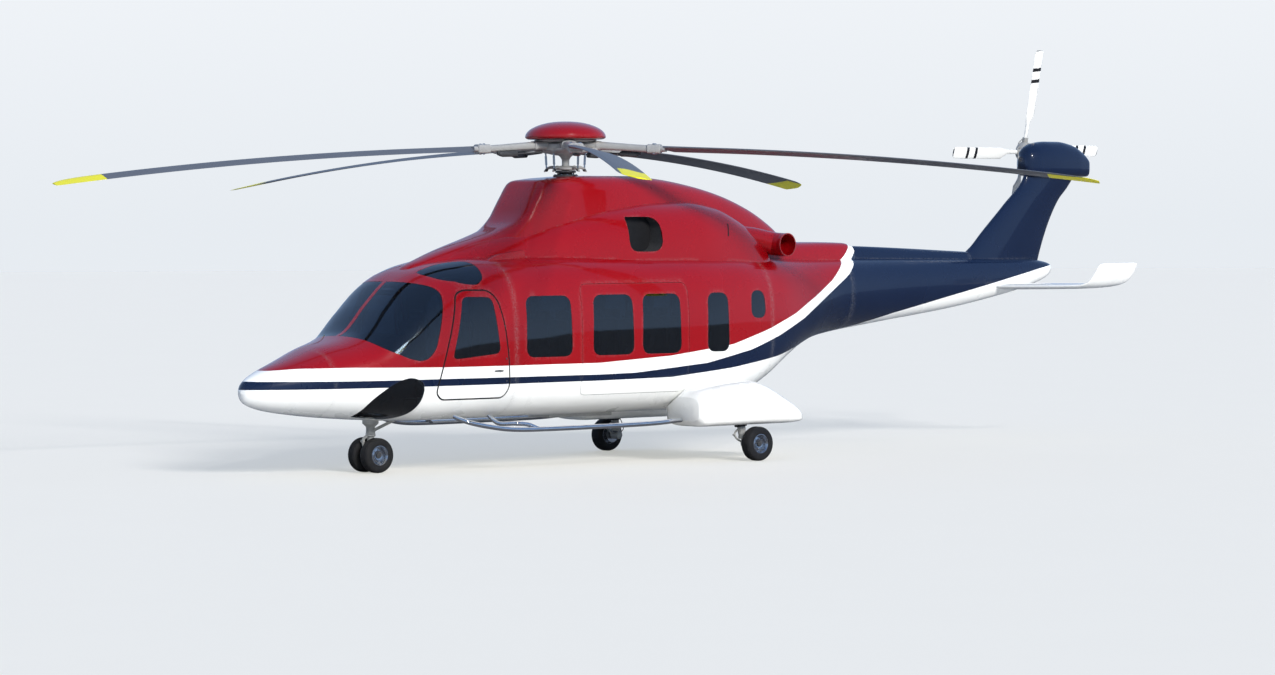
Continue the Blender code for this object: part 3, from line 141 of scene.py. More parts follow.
# One section with its points evenly spaced round each quarter
def sectionPoints(form, station, count, offset=0.0, ceiling=None, centreX=0.0):
    halfWidth, top, wide, bottom, topRound, bottomRound = [float(v)
                                                           for v in formAt(form, station, offset, ceiling)]
    angles = np.linspace(0, pi / 2, 160)
    quarter = count // 4
    arcs = []
    for height, power in ((top - wide, topRound), (wide - bottom, bottomRound)):
        x = max(halfWidth, 0.002) * np.cos(angles).clip(0) ** (2 / power)
        z = max(height, 0.002) * np.sin(angles).clip(0) ** (2 / power)
        run = np.concatenate([[0], np.cumsum(np.hypot(np.diff(x), np.diff(z)))])
        even = np.linspace(0, run[-1], quarter + 1)
        arcs.append((np.interp(even, run, x), np.interp(even, run, z)))
    (topX, topZ), (lowX, lowZ) = arcs
    x = np.concatenate([topX[:-1], -topX[::-1][:-1], -lowX[:-1], lowX[::-1][:-1]])
    z = np.concatenate([topZ[:-1], topZ[::-1][:-1], -lowZ[:-1], -lowZ[::-1][:-1]])
    return np.stack([x + centreX, np.full(len(x), station), z + wide], axis=1)


# How far points stand outside a form, and the way its surface faces there
def formDistance(form, points, offset=0.0, centreX=0.0):
    def field(at):
        halfWidth, top, wide, bottom, topRound, bottomRound = formAt(form, at[:, 1], offset)
        above = at[:, 2] >= wide
        height = np.where(above, top - wide, wide - bottom).clip(0.002)
        power = np.where(above, topRound, bottomRound)
        reach = (np.abs(at[:, 0] - centreX) / halfWidth.clip(0.002)) ** power
        return (reach + (np.abs(at[:, 2] - wide) / height) ** power) ** (1 / power)
    step = 0.002
    slope = np.stack([(field(points + shift) - field(points - shift)) / (2 * step)
                      for shift in np.eye(3) * step], axis=1)
    length = np.linalg.norm(slope, axis=1).clip(1e-6)
    return (field(points) - 1) / length, slope / length[:, None]


# Meshes
def paint(piece, material):
    piece.data.materials.clear()
    piece.data.materials.append(material)
    return piece


def place(name, mesh, material=None):
    piece = bpy.data.objects.new(name, mesh)
    bpy.context.scene.collection.objects.link(piece)
    return piece if material is None else paint(piece, material)


def meshFrom(name, points, faces, material=None, smoothAngle=35):
    mesh = bpy.data.meshes.new(name)
    mesh.from_pydata([tuple(p) for p in points], [], faces)
    form = bmesh.new()
    form.from_mesh(mesh)
    bmesh.ops.remove_doubles(form, verts=form.verts, dist=1e-6)
    bmesh.ops.recalc_face_normals(form, faces=form.faces)
    form.to_mesh(mesh)
    form.free()
    mesh.shade_smooth()
    mesh.set_sharp_from_angle(angle=radians(smoothAngle))
    return place(name, mesh, material)


# Faces between neighbouring rings, and across the first and last one
def ringFaces(rows, count, start=0, caps=True):
    faces = []
    for row in range(rows - 1):
        for k in range(count):
            a, b = start + row * count + k, start + row * count + (k + 1) % count
            faces.append((a, b, b + count, a + count))
    if caps:
        faces.append(tuple(start + k for k in range(count))[::-1])
        faces.append(tuple(start + (rows - 1) * count + k for k in range(count)))
    return faces


def loft(name, rings, material=None, smoothAngle=35):
    count = len(rings[0])
    points = np.concatenate([np.asarray(ring, float) for ring in rings])
    return meshFrom(name, points, ringFaces(len(rings), count), material, smoothAngle)


def stationsFor(start, end, step):
    return np.linspace(start, end, max(2, int(round((end - start) / step)) + 1))


def formSolid(name, form, start, end, offset=0.0, step=0.06, count=96, material=None, ceiling=None,
              centreX=0.0):
    return loft(name, [sectionPoints(form, y, count, offset, ceiling, centreX)
                       for y in stationsFor(start, end, step)],
                material)


# A closed wall between two offsets of a form
def formShell(name, form, start, end, outer, inner, step=0.06, count=96, material=None, ceiling=None):
    stations = stationsFor(start, end, step)
    rows = len(stations)
    outerPoints = [sectionPoints(form, y, count, outer) for y in stations]
    innerPoints = [sectionPoints(form, y, count, inner, ceiling) for y in stations]
    points = np.concatenate(outerPoints + innerPoints)
    faces = ringFaces(rows, count, 0, False)
    shift = rows * count
    faces += [tuple(reversed([corner + shift for corner in face])) for face in faces]
    for row in (0, rows - 1):
        for k in range(count):
            a, b = row * count + k, row * count + (k + 1) % count
            faces.append((a, b, b + shift, a + shift))
    return meshFrom(name, points, faces, material)


# The outline with each corner turned into an arc
def roundCorners(outline, radius, steps=8):
    rounded = []
    radii = radius if isinstance(radius, list) else [radius] * len(outline)
    for k, corner in enumerate(outline):
        here = Vector(corner)
        back, ahead = Vector(outline[k - 1]) - here, Vector(outline[(k + 1) % len(outline)]) - here
        reach = min(radii[k], back.length * 0.48, ahead.length * 0.48)
        start, end = here + back.normalized() * reach, here + ahead.normalized() * reach
        for t in np.linspace(0, 1, steps + 1):
            point = start * (1 - t) ** 2 + here * 2 * t * (1 - t) + end * t ** 2
            rounded.append((point.x, point.y))
    return rounded


def grow(outline, margin):
    area = sum(a[0] * b[1] - b[0] * a[1] for a, b in zip(outline, outline[1:] + outline[:1]))
    sign = 1 if area > 0 else -1
    grown = []
    for k, corner in enumerate(outline):
        before = (Vector(corner) - Vector(outline[k - 1])).normalized()
        after = (Vector(outline[(k + 1) % len(outline)]) - Vector(corner)).normalized()
        normal = (Vector((before.y, -before.x)) + Vector((after.y, -after.x))) * sign
        normal = normal / max(0.3, normal.length_squared / 2)
        grown.append((corner[0] + normal.x * margin, corner[1] + normal.y * margin))
    return grown


# A block over an outline in the YZ plane, or in the XY plane when upright
def prism(name, outline, low, high, upright=False):
    if upright:
        rings = [[(x, y, z) for x, y in outline] for z in (low, high)]
    else:
        rings = [[(x, y, z) for y, z in outline] for x in (low, high)]
    return loft(name, rings)


# A block between two outlines, for borders and seals
def framePrism(name, outerLine, innerLine, low, high, upright=False):
    count = len(outerLine)
    points = []
    for level in (low, high):
        for line in (outerLine, innerLine):
            points += [(a, b, level) if upright else (level, a, b) for a, b in line]
    faces = []
    for k in range(count):
        j = (k + 1) % count
        faces.append((k, j, count + j, count + k))
        faces.append((2 * count + k, 3 * count + k, 3 * count + j, 2 * count + j))
        faces.append((k, 2 * count + k, 2 * count + j, j))
        faces.append((count + k, count + j, 3 * count + j, 3 * count + k))
    return meshFrom(name, points, faces)


# A block between two opposite corners, given in any order
def block(name, first, last, bevel=0.0, material=None):
    low, high = zip(*(sorted(pair) for pair in zip(first, last)))
    rings = [[(low[0], y, low[2]), (high[0], y, low[2]), (high[0], y, high[2]), (low[0], y, high[2])]
             for y in (low[1], high[1])]
    piece = loft(name, rings, material)
    if bevel:
        softenEdges(piece, bevel)
    return piece


def softenEdges(piece, width, segments=3):
    step = piece.modifiers.new("soft edges", "BEVEL")
    step.width = width
    step.segments = segments
    step.limit_method = "ANGLE"
    step.angle_limit = radians(35)
    return settle(piece)


# Gives the piece the mesh that its modifiers make
def settle(piece, smoothAngle=35):
    graph = bpy.context.evaluated_depsgraph_get()
    mesh = bpy.data.meshes.new_from_object(piece.evaluated_get(graph))
    piece.modifiers.clear()
    piece.data = mesh
    mesh.shade_smooth()
    mesh.set_sharp_from_angle(angle=radians(smoothAngle))
    return piece


def joined(name, pieces, material=None):
    form = bmesh.new()
    for piece in pieces:
        piece.data.transform(piece.matrix_world)
        form.from_mesh(piece.data)
        bpy.data.objects.remove(piece, do_unlink=True)
    mesh = bpy.data.meshes.new(name)
    form.to_mesh(mesh)
    form.free()
    mesh.shade_smooth()
    mesh.set_sharp_from_angle(angle=radians(35))
    return place(name, mesh, material)


def shape(piece, operation, *tools):
    for tool in tools:
        step = piece.modifiers.new(operation.lower(), "BOOLEAN")
        step.operation = operation
        step.solver = "EXACT"
        step.object = tool
    settle(piece)
    for tool in tools:
        bpy.data.objects.remove(tool, do_unlink=True)
    return piece


def cut(piece, *tools):
    return shape(piece, "DIFFERENCE", *tools)


def keep(piece, *tools):
    return shape(piece, "INTERSECT", *tools)


# Takes a painted skin's normals from the smooth forms under it, so that gloss runs evenly past the cuts
def smoothByForms(piece, *forms):
    mesh = piece.data
    points = np.zeros(len(mesh.vertices) * 3)
    mesh.vertices.foreach_get("co", points)
    points = points.reshape(-1, 3)
    corner = np.zeros(len(mesh.loops), int)
    mesh.loops.foreach_get("vertex_index", corner)
    totals = np.zeros(len(mesh.polygons), int)
    mesh.polygons.foreach_get("loop_total", totals)
    faceNormals = np.zeros(len(mesh.polygons) * 3)
    mesh.polygons.foreach_get("normal", faceNormals)
    faceNormals = np.repeat(faceNormals.reshape(-1, 3), totals, axis=0)
    normals = np.zeros(len(mesh.loops) * 3)
    mesh.corner_normals.foreach_get("vector", normals)
    normals = normals.reshape(-1, 3)
    for form, offset, centreX in forms:
        distance, facing = formDistance(form, points, offset, centreX)
        distance, facing = distance[corner], facing[corner]
        agree = (facing * faceNormals).sum(axis=1)
        near = (np.abs(distance) < 0.006) & (np.abs(agree) > 0.9)
        normals[near] = facing[near] * np.sign(agree[near])[:, None]
    mesh.normals_split_custom_set(normals.tolist())
    return piece


def turned(name, profile, centre, axis, count=48, material=None, closed=False, smoothAngle=35):
    axis = Vector(axis).normalized()
    across = axis.orthogonal().normalized()
    beside = axis.cross(across)
    centre = Vector(centre)
    rings = []
    for r, height in profile:
        base = centre + axis * height
        rings.append([base + (across * cos(2 * pi * k / count) + beside * sin(2 * pi * k / count))
                      * max(r, 1e-5)
                      for k in range(count)])
    points = [p for ring in rings for p in ring]
    faces = ringFaces(len(rings), count, 0, not closed)
    if closed:
        last = (len(rings) - 1) * count
        faces += [(last + k, last + (k + 1) % count, (k + 1) % count, k) for k in range(count)]
    return meshFrom(name, points, faces, material, smoothAngle)


def rod(name, start, end, radius, endRadius=None, count=20, material=None, bevel=0.0):
    start, end = Vector(start), Vector(end)
    length = (end - start).length
    endRadius = radius if endRadius is None else endRadius
    profile = [(max(radius - bevel, 0), 0), (radius, bevel), (endRadius, length - bevel),
               (max(endRadius - bevel, 0), length)]
    if not bevel:
        profile = [(radius, 0), (endRadius, length)]
    return turned(name, profile, start, end - start, count, material)


# Rings of points along a smooth curve through the route's points
def sweepRings(route, radius, count=16, steps=8, radii=None):
    route = [Vector(point) for point in route]
    padded = [route[0] * 2 - route[1]] + route + [route[-1] * 2 - route[-2]]
    path, shares = [], []
    for number, (a, b, c, d) in enumerate(zip(padded, padded[1:], padded[2:], padded[3:])):
        for t in np.linspace(0, 1, steps, endpoint=False):
            path.append(0.5 * (2 * b + (c - a) * t + (2 * a - 5 * b + 4 * c - d) * t ** 2
                               + (3 * b - a - 3 * c + d) * t ** 3))
            shares.append(number + t)
    path.append(route[-1])
    shares.append(len(route) - 1)
    if radii is None:
        radii = [radius] * len(route)
    sizes = np.interp(shares, range(len(route)), radii)
    rings, across = [], None
    for k, centre in enumerate(path):
        ahead = (path[min(k + 1, len(path) - 1)] - path[max(k - 1, 0)]).normalized()
        across = ahead.orthogonal() if across is None else across - ahead * across.dot(ahead)
        across.normalize()
        beside = ahead.cross(across)
        rings.append([centre + (across * cos(2 * pi * j / count) + beside * sin(2 * pi * j / count))
                      * sizes[k]
                      for j in range(count)])
    return rings


def tube(name, route, radius, count=16, steps=8, material=None, radii=None):
    return loft(name, sweepRings(route, radius, count, steps, radii), material)


# A tube with a wall, open at both ends
def pipe(name, route, radius, wall, count=40, steps=10, material=None):
    rings = sweepRings(route, radius, count, steps) + sweepRings(route, radius - wall, count, steps)[::-1]
    points = [p for ring in rings for p in ring]
    faces = ringFaces(len(rings), count, 0, False)
    last = (len(rings) - 1) * count
    faces += [(last + k, last + (k + 1) % count, (k + 1) % count, k) for k in range(count)]
    return meshFrom(name, points, faces, material)


# Shader helpers
def startGroup(name, inputs, outputs):
    tree = bpy.data.node_groups.new(name, "ShaderNodeTree")
    for label, kind, value in inputs:
        socket = tree.interface.new_socket(label, in_out="INPUT", socket_type="NodeSocket" + kind)
        socket.default_value = value
    for label, kind in outputs:
        tree.interface.new_socket(label, in_out="OUTPUT", socket_type="NodeSocket" + kind)
    return tree, tree.nodes.new("NodeGroupInput"), tree.nodes.new("NodeGroupOutput")


def addNode(tree, kind, **settings):
    node = tree.nodes.new("ShaderNode" + kind)
    for key, value in settings.items():
        setattr(node, key, value)
    return node


def feed(tree, socket, value):
    if isinstance(value, bpy.types.NodeSocket):
        tree.links.new(value, socket)
    else:
        socket.default_value = value


def maths(tree, operation, first, second=0.0, clamp=False):
    node = addNode(tree, "Math", operation=operation, use_clamp=clamp)
    feed(tree, node.inputs[0], first)
    feed(tree, node.inputs[1], second)
    return node.outputs[0]


def remap(tree, value, fromLow, fromHigh, toLow=0.0, toHigh=1.0):
    node = addNode(tree, "MapRange")
    feed(tree, node.inputs["Value"], value)
    for label, number in (("From Min", fromLow), ("From Max", fromHigh), ("To Min", toLow),
                          ("To Max", toHigh)):
        feed(tree, node.inputs[label], number)
    return node.outputs["Result"]


def mixColour(tree, factor, first, second):
    node = addNode(tree, "Mix", data_type="RGBA")
    feed(tree, node.inputs["Factor"], factor)
    feed(tree, node.inputs["A"], first if isinstance(first, bpy.types.NodeSocket) else (*first, 1.0))
    feed(tree, node.inputs["B"], second if isinstance(second, bpy.types.NodeSocket) else (*second, 1.0))
    return node.outputs["Result"]


def noise(tree, scale, detail=3.0, roughness=0.5, vector=None):
    node = addNode(tree, "TexNoise")
    feed(tree, node.inputs["Scale"], scale)
    node.inputs["Detail"].default_value = detail
    node.inputs["Roughness"].default_value = roughness
    if vector is not None:
        tree.links.new(vector, node.inputs["Vector"])
    return node.outputs["Fac"]


def objectPlace(tree):
    place = addNode(tree, "TexCoord").outputs["Object"]
    split = addNode(tree, "SeparateXYZ")
    tree.links.new(place, split.inputs[0])
    return place, split.outputs


# Heights where the body's colours change, as (station, height): red above, then white, then the navy stripe
livery = {
    "redEdge": [(-5.6, 0.76), (-5.12, 0.773), (-4.82, 0.799), (-4.25, 0.806), (-2.88, 0.786),
                (-0.355, 0.781), (0.93, 0.848), (2.115, 0.981), (2.875, 1.178), (3.53, 1.391), (4.01, 1.60),
                (4.51, 1.838), (4.976, 2.12), (5.10, 2.20), (5.25, 2.33), (5.31, 2.42), (5.40, 4.20),
                (10.4, 4.20)],
    "stripeTop": [(-5.6, 0.64), (-4.886, 0.634), (-4.27, 0.63), (-2.87, 0.633), (-0.347, 0.622),
                  (0.29, 0.629), (1.59, 0.73), (2.486, 0.895), (3.085, 1.071), (3.77, 1.322), (4.48, 1.683),
                  (4.93, 1.91), (5.20, 2.09), (5.30, 2.18), (5.46, 2.33), (5.55, 4.20), (10.4, 4.20)],
    "stripeLow": [(-5.6, 0.53), (-4.894, 0.53), (-2.867, 0.539), (-0.335, 0.537), (0.951, 0.549),
                  (2.131, 0.653), (3.124, 0.788), (4.159, 0.999), (5.282, 1.167), (6.02, 1.338),
                  (7.185, 1.572), (8.309, 1.784), (9.292, 1.972), (9.68, 2.03), (9.80, 0.0), (10.4, 0.0)],
    "stations": (-5.6, 10.4), "heights": (-0.2, 4.2), "edge": 0.004}


def makeLiveryBands():
    tree, _, out = startGroup("livery bands", [], [("Red", "Float"), ("Navy", "Float")])
    _, axes = objectPlace(tree)
    low, high = livery["heights"]
    start, end = livery["stations"]
    share = remap(tree, axes["Y"], start, end)
    above = {}
    for line in ("redEdge", "stripeTop", "stripeLow"):
        curve = addNode(tree, "FloatCurve")
        tree.links.new(share, curve.inputs["Value"])
        points = curve.mapping.curves[0].points
        while len(points) < len(livery[line]):
            points.new(0.5, 0.5)
        for point, (station, height) in zip(points, livery[line]):
            point.location = ((station - start) / (end - start), (height - low) / (high - low))
            point.handle_type = "VECTOR"
        curve.mapping.update()
        level = remap(tree, curve.outputs[0], 0.0, 1.0, low, high)
        rise = maths(tree, "SUBTRACT", axes["Z"], level)
        above[line] = remap(tree, rise, -livery["edge"] / 2, livery["edge"] / 2)
    tree.links.new(above["redEdge"], out.inputs["Red"])
    navy = maths(tree, "MULTIPLY", above["stripeLow"], maths(tree, "SUBTRACT", 1.0, above["stripeTop"]))
    tree.links.new(navy, out.inputs["Navy"])
    return tree


# Slow colour change, fine grain and a height for the bump, at one scale
def makeFinishGrain():
    tree, into, out = startGroup("finish grain", [("Scale", "Float", 1.0), ("Fine Scale", "Float", 60.0)],
                                 [("Patches", "Float"), ("Grain", "Float"), ("Height", "Float")])
    place, _ = objectPlace(tree)
    patches = noise(tree, into.outputs["Scale"], 4.0, 0.55, place)
    grain = noise(tree, into.outputs["Fine Scale"], 5.0, 0.6, place)
    tree.links.new(patches, out.inputs["Patches"])
    tree.links.new(grain, out.inputs["Grain"])
    height = maths(tree, "ADD", maths(tree, "MULTIPLY", patches, 0.6), maths(tree, "MULTIPLY", grain, 0.4))
    tree.links.new(height, out.inputs["Height"])
    return tree


# Rubbed edges, from how sharply the surface turns
def makeEdgeWear():
    tree, into, out = startGroup("edge wear", [("Amount", "Float", 0.5), ("Scale", "Float", 30.0)],
                                 [("Wear", "Float")])
    place, _ = objectPlace(tree)
    sharpness = addNode(tree, "NewGeometry").outputs["Pointiness"]
    edge = remap(tree, sharpness, 0.52, 0.60)
    broken = remap(tree, noise(tree, into.outputs["Scale"], 6.0, 0.65, place), 0.42, 0.62)
    wear = maths(tree, "MULTIPLY", maths(tree, "MULTIPLY", edge, broken), into.outputs["Amount"], True)
    tree.links.new(wear, out.inputs["Wear"])
    return tree


# A thin film of dust low on the belly, broken into patches
def makeDustFilm():
    tree, into, out = startGroup("dust film", [("Amount", "Float", 0.3), ("Top", "Float", 0.4)],
                                 [("Dust", "Float")])
    place, axes = objectPlace(tree)
    low = remap(tree, axes["Z"], into.outputs["Top"], -0.3)
    cloud = remap(tree, noise(tree, 3.0, 8.0, 0.6, place), 0.35, 0.75)
    dust = maths(tree, "MULTIPLY", maths(tree, "MULTIPLY", low, cloud), into.outputs["Amount"], True)
    tree.links.new(dust, out.inputs["Dust"])
    return tree


# Joints between skin panels, with a row of flush fasteners beside each
seamMarks = {"rivetPitch": 0.032, "fromSeam": 0.018, "rivetRadius": 0.0035, "rivetEdge": 0.001}


def makePanelSeams():
    tree, into, out = startGroup("panel seams", [("Pitch", "Float", 0.9), ("Width", "Float", 0.004)],
                                 [("Seam", "Float"), ("Rivets", "Float")])
    _, axes = objectPlace(tree)
    fromSeam = maths(tree, "PINGPONG", axes["Y"], maths(tree, "MULTIPLY", into.outputs["Pitch"], 0.5))
    seam = remap(tree, fromSeam, into.outputs["Width"], 0.0)
    aside = maths(tree, "ABSOLUTE", maths(tree, "SUBTRACT", fromSeam, seamMarks["fromSeam"]))
    spot = maths(tree, "PINGPONG", axes["Z"], seamMarks["rivetPitch"] / 2)
    squares = maths(tree, "ADD", maths(tree, "MULTIPLY", aside, aside), maths(tree, "MULTIPLY", spot, spot))
    reach = seamMarks["rivetRadius"]
    rivets = remap(tree, maths(tree, "SQRT", squares), reach, reach - seamMarks["rivetEdge"])
    tree.links.new(seam, out.inputs["Seam"])
    tree.links.new(rivets, out.inputs["Rivets"])
    return tree


# Threads over and under, for seat covers, belts and carpet
def makeClothWeave():
    tree, into, out = startGroup("cloth weave", [("Threads", "Float", 400.0)],
                                 [("Weave", "Float"), ("Height", "Float")])
    place, _ = objectPlace(tree)
    waves = []
    for direction in ("X", "Y", "Z"):
        wave = addNode(tree, "TexWave", wave_type="BANDS", bands_direction=direction)
        feed(tree, wave.inputs["Scale"], into.outputs["Threads"])
        wave.inputs["Distortion"].default_value = 0.6
        tree.links.new(place, wave.inputs["Vector"])
        waves.append(wave.outputs["Fac"])
    height = maths(tree, "MULTIPLY", maths(tree, "ADD", waves[0], maths(tree, "ADD", waves[1], waves[2])),
                   0.333)
    tree.links.new(height, out.inputs["Height"])
    tree.links.new(remap(tree, height, 0.3, 0.7), out.inputs["Weave"])
    return tree


groups = {"liveryBands": makeLiveryBands(), "finishGrain": makeFinishGrain(), "edgeWear": makeEdgeWear(),
          "dustFilm": makeDustFilm(), "panelSeams": makePanelSeams(), "clothWeave": makeClothWeave()}


def useGroup(tree, name, **values):
    node = addNode(tree, "Group", node_tree=groups[name])
    for label, value in values.items():
        feed(tree, node.inputs[label.replace("_", " ")], value)
    return node.outputs


def startMaterial(name, colour, roughness, metallic=0.0, **fixed):
    material = bpy.data.materials.new(name)
    material.use_nodes = True
    shader = material.node_tree.nodes["Principled BSDF"]
    shader.inputs["Base Color"].default_value = (*colour, 1.0)
    shader.inputs["Roughness"].default_value = roughness
    shader.inputs["Metallic"].default_value = metallic
    for label, value in fixed.items():
        shader.inputs[label.replace("_", " ")].default_value = value
    return material, material.node_tree, shader


def bump(tree, shader, height, strength, distance=0.002, under=None):
    node = addNode(tree, "Bump")
    node.inputs["Strength"].default_value = strength
    node.inputs["Distance"].default_value = distance
    tree.links.new(height, node.inputs["Height"])
    if under is not None:
        tree.links.new(under, node.inputs["Normal"])
    tree.links.new(node.outputs[0], shader.inputs["Normal"])
    return node.outputs[0]


paintColours = {"red": (0.265, 0.001, 0.0035), "redDeep": (0.23, 0.0009, 0.003),
                "white": (0.86, 0.87, 0.85),
                "navy": (0.0045, 0.012, 0.038), "navyDeep": (0.0035, 0.009, 0.030),
                "dust": (0.33, 0.31, 0.26)}


# Gloss paint: colour by the livery's bands, or one colour, under a clear coat
def makePaint(name, plain=None, dust=0.25):
    material, tree, shader = startMaterial(name, plain or paintColours["red"], 0.28,
                                           Specular_IOR_Level=0.25, Coat_Weight=0.8, Coat_Roughness=0.03,
                                           Coat_IOR=1.4)
    grain = useGroup(tree, "finishGrain", Scale=1.3, Fine_Scale=420.0)
    if plain is None:
        bands = useGroup(tree, "liveryBands")
        red = mixColour(tree, grain["Patches"], paintColours["redDeep"], paintColours["red"])
        navy = mixColour(tree, grain["Patches"], paintColours["navyDeep"], paintColours["navy"])
        colour = mixColour(tree, bands["Navy"], paintColours["white"], navy)
        colour = mixColour(tree, bands["Red"], colour, red)
    else:
        deep = tuple(c * 0.86 for c in plain)
        colour = mixColour(tree, grain["Patches"], deep, plain)
    film = useGroup(tree, "dustFilm", Amount=dust, Top=0.5)
    colour = mixColour(tree, film["Dust"], colour, paintColours["dust"])
    wear = useGroup(tree, "edgeWear", Amount=0.25, Scale=45.0)
    colour = mixColour(tree, wear["Wear"], colour, (0.30, 0.30, 0.30))
    seams = useGroup(tree, "panelSeams", Pitch=1.18, Width=0.0022)
    marks = maths(tree, "ADD", maths(tree, "MULTIPLY", seams["Seam"], -1.0),
                  maths(tree, "MULTIPLY", seams["Rivets"], -0.3))
    tree.links.new(colour, shader.inputs["Base Color"])
    roughness = remap(tree, grain["Patches"], 0.2, 0.8, 0.20, 0.34)
    tree.links.new(maths(tree, "ADD", roughness, maths(tree, "MULTIPLY", film["Dust"], 0.5), True),
                   shader.inputs["Roughness"])
    waves = bump(tree, shader, grain["Height"], 0.04, 0.0006)
    bump(tree, shader, marks, 0.10, 0.001, waves)
    return material


def makeMetal(name, colour, roughness, spread=0.1, metallic=1.0, fine=220.0, wear=0.4,
              worn=(0.55, 0.55, 0.56)):
    material, tree, shader = startMaterial(name, colour, roughness, metallic)
    grain = useGroup(tree, "finishGrain", Scale=9.0, Fine_Scale=fine)
    deep = tuple(c * 0.75 for c in colour)
    shade = mixColour(tree, grain["Patches"], deep, colour)
    edges = useGroup(tree, "edgeWear", Amount=wear, Scale=60.0)
    tree.links.new(mixColour(tree, edges["Wear"], shade, worn), shader.inputs["Base Color"])
    tree.links.new(remap(tree, grain["Grain"], 0.25, 0.75, max(0.02, roughness - spread),
                         roughness + spread),
                   shader.inputs["Roughness"])
    bump(tree, shader, grain["Height"], 0.12, 0.0008)
    return material


def makeRubber(name, colour, roughness=0.75, fine=300.0, dust=0.35):
    material, tree, shader = startMaterial(name, colour, roughness, Specular_IOR_Level=0.35)
    grain = useGroup(tree, "finishGrain", Scale=14.0, Fine_Scale=fine)
    film = useGroup(tree, "dustFilm", Amount=dust, Top=0.2)
    shade = mixColour(tree, grain["Patches"], tuple(c * 0.7 for c in colour),
                      tuple(c * 1.3 for c in colour))
    tree.links.new(mixColour(tree, film["Dust"], shade, (0.10, 0.095, 0.085)), shader.inputs["Base Color"])
    tree.links.new(remap(tree, grain["Grain"], 0.3, 0.7, roughness - 0.12, roughness + 0.12),
                   shader.inputs["Roughness"])
    bump(tree, shader, grain["Height"], 0.25, 0.001)
    return material


def makeCloth(name, colour, threads=420.0):
    material, tree, shader = startMaterial(name, colour, 0.9, Sheen_Weight=0.35, Sheen_Roughness=0.5)
    weave = useGroup(tree, "clothWeave", Threads=threads)
    grain = useGroup(tree, "finishGrain", Scale=6.0, Fine_Scale=180.0)
    shade = mixColour(tree, weave["Weave"], tuple(c * 0.6 for c in colour), colour)
    tree.links.new(mixColour(tree, maths(tree, "MULTIPLY", grain["Patches"], 0.4), shade,
                             tuple(c * 1.5 for c in colour)),
                   shader.inputs["Base Color"])
    bump(tree, shader, weave["Height"], 0.5, 0.0008)
    return material


def makeGlass(name, tint, roughness=0.02):
    material, tree, shader = startMaterial(name, tint, roughness, Transmission_Weight=1.0, IOR=1.75)
    grain = useGroup(tree, "finishGrain", Scale=1.1, Fine_Scale=90.0)
    deep = tuple(c * 0.8 for c in tint)
    tree.links.new(mixColour(tree, grain["Patches"], deep, tint), shader.inputs["Base Color"])
    tree.links.new(remap(tree, grain["Grain"], 0.3, 0.8, roughness, roughness + 0.03),
                   shader.inputs["Roughness"])
    bump(tree, shader, grain["Patches"], 0.02, 0.001)
    return material


# Blade skin in the blade's own frame, with a yellow tip and a bare strip along the leading edge
bladeMarks = {"tipFrom": 6.70, "stripUntil": -0.098, "grey": (0.115, 0.12, 0.135),
              "yellow": (0.78, 0.72, 0.0), "strip": (0.20, 0.205, 0.215)}


def makeBladeSkin():
    material, tree, shader = startMaterial("blade skin", bladeMarks["grey"], 0.42)
    place, axes = objectPlace(tree)
    grain = useGroup(tree, "finishGrain", Scale=2.5, Fine_Scale=260.0)
    shade = mixColour(tree, grain["Patches"], tuple(c * 0.8 for c in bladeMarks["grey"]),
                      bladeMarks["grey"])
    tip = remap(tree, axes["X"], bladeMarks["tipFrom"], bladeMarks["tipFrom"] + 0.004)
    colour = mixColour(tree, tip, shade, bladeMarks["yellow"])
    strip = remap(tree, axes["Y"], bladeMarks["stripUntil"], bladeMarks["stripUntil"] - 0.004)
    streaks = addNode(tree, "Mapping")
    streaks.inputs["Scale"].default_value = (1.0, 60.0, 60.0)
    tree.links.new(place, streaks.inputs["Vector"])
    scratch = noise(tree, 3.0, 6.0, 0.6, streaks.outputs[0])
    strip = maths(tree, "MULTIPLY", strip, remap(tree, scratch, 0.25, 0.45))
    colour = mixColour(tree, strip, colour, bladeMarks["strip"])
    tree.links.new(colour, shader.inputs["Base Color"])
    tree.links.new(maths(tree, "MULTIPLY", strip, 0.6), shader.inputs["Metallic"])
    tree.links.new(remap(tree, grain["Grain"], 0.3, 0.7, 0.34, 0.52), shader.inputs["Roughness"])
    bump(tree, shader, grain["Height"], 0.10, 0.0008)
    return material


# Tail blade skin, white with black bands at these distances from the hub
tailMarks = {"bands": [(1.085, 1.14), (1.265, 1.32), (1.588, 1.62)], "lean": 0.12}


def makeTailBladeSkin():
    material, tree, shader = startMaterial("tail blade skin", paintColours["white"], 0.3, Coat_Weight=0.5,
                                           Coat_Roughness=0.1)
    _, axes = objectPlace(tree)
    grain = useGroup(tree, "finishGrain", Scale=4.0, Fine_Scale=260.0)
    reach = maths(tree, "ABSOLUTE",
                  maths(tree, "ADD", axes["X"], maths(tree, "MULTIPLY", axes["Y"], tailMarks["lean"])))
    black = None
    for low, high in tailMarks["bands"]:
        band = maths(tree, "MULTIPLY", remap(tree, reach, low, low + 0.003),
                     remap(tree, reach, high + 0.003, high))
        black = band if black is None else maths(tree, "MAXIMUM", black, band)
    white = mixColour(tree, grain["Patches"], (0.70, 0.71, 0.70), paintColours["white"])
    tree.links.new(mixColour(tree, black, white, (0.012, 0.012, 0.014)), shader.inputs["Base Color"])
    tree.links.new(remap(tree, grain["Grain"], 0.3, 0.7, 0.24, 0.38), shader.inputs["Roughness"])
    bump(tree, shader, grain["Height"], 0.08, 0.0006)
    return material


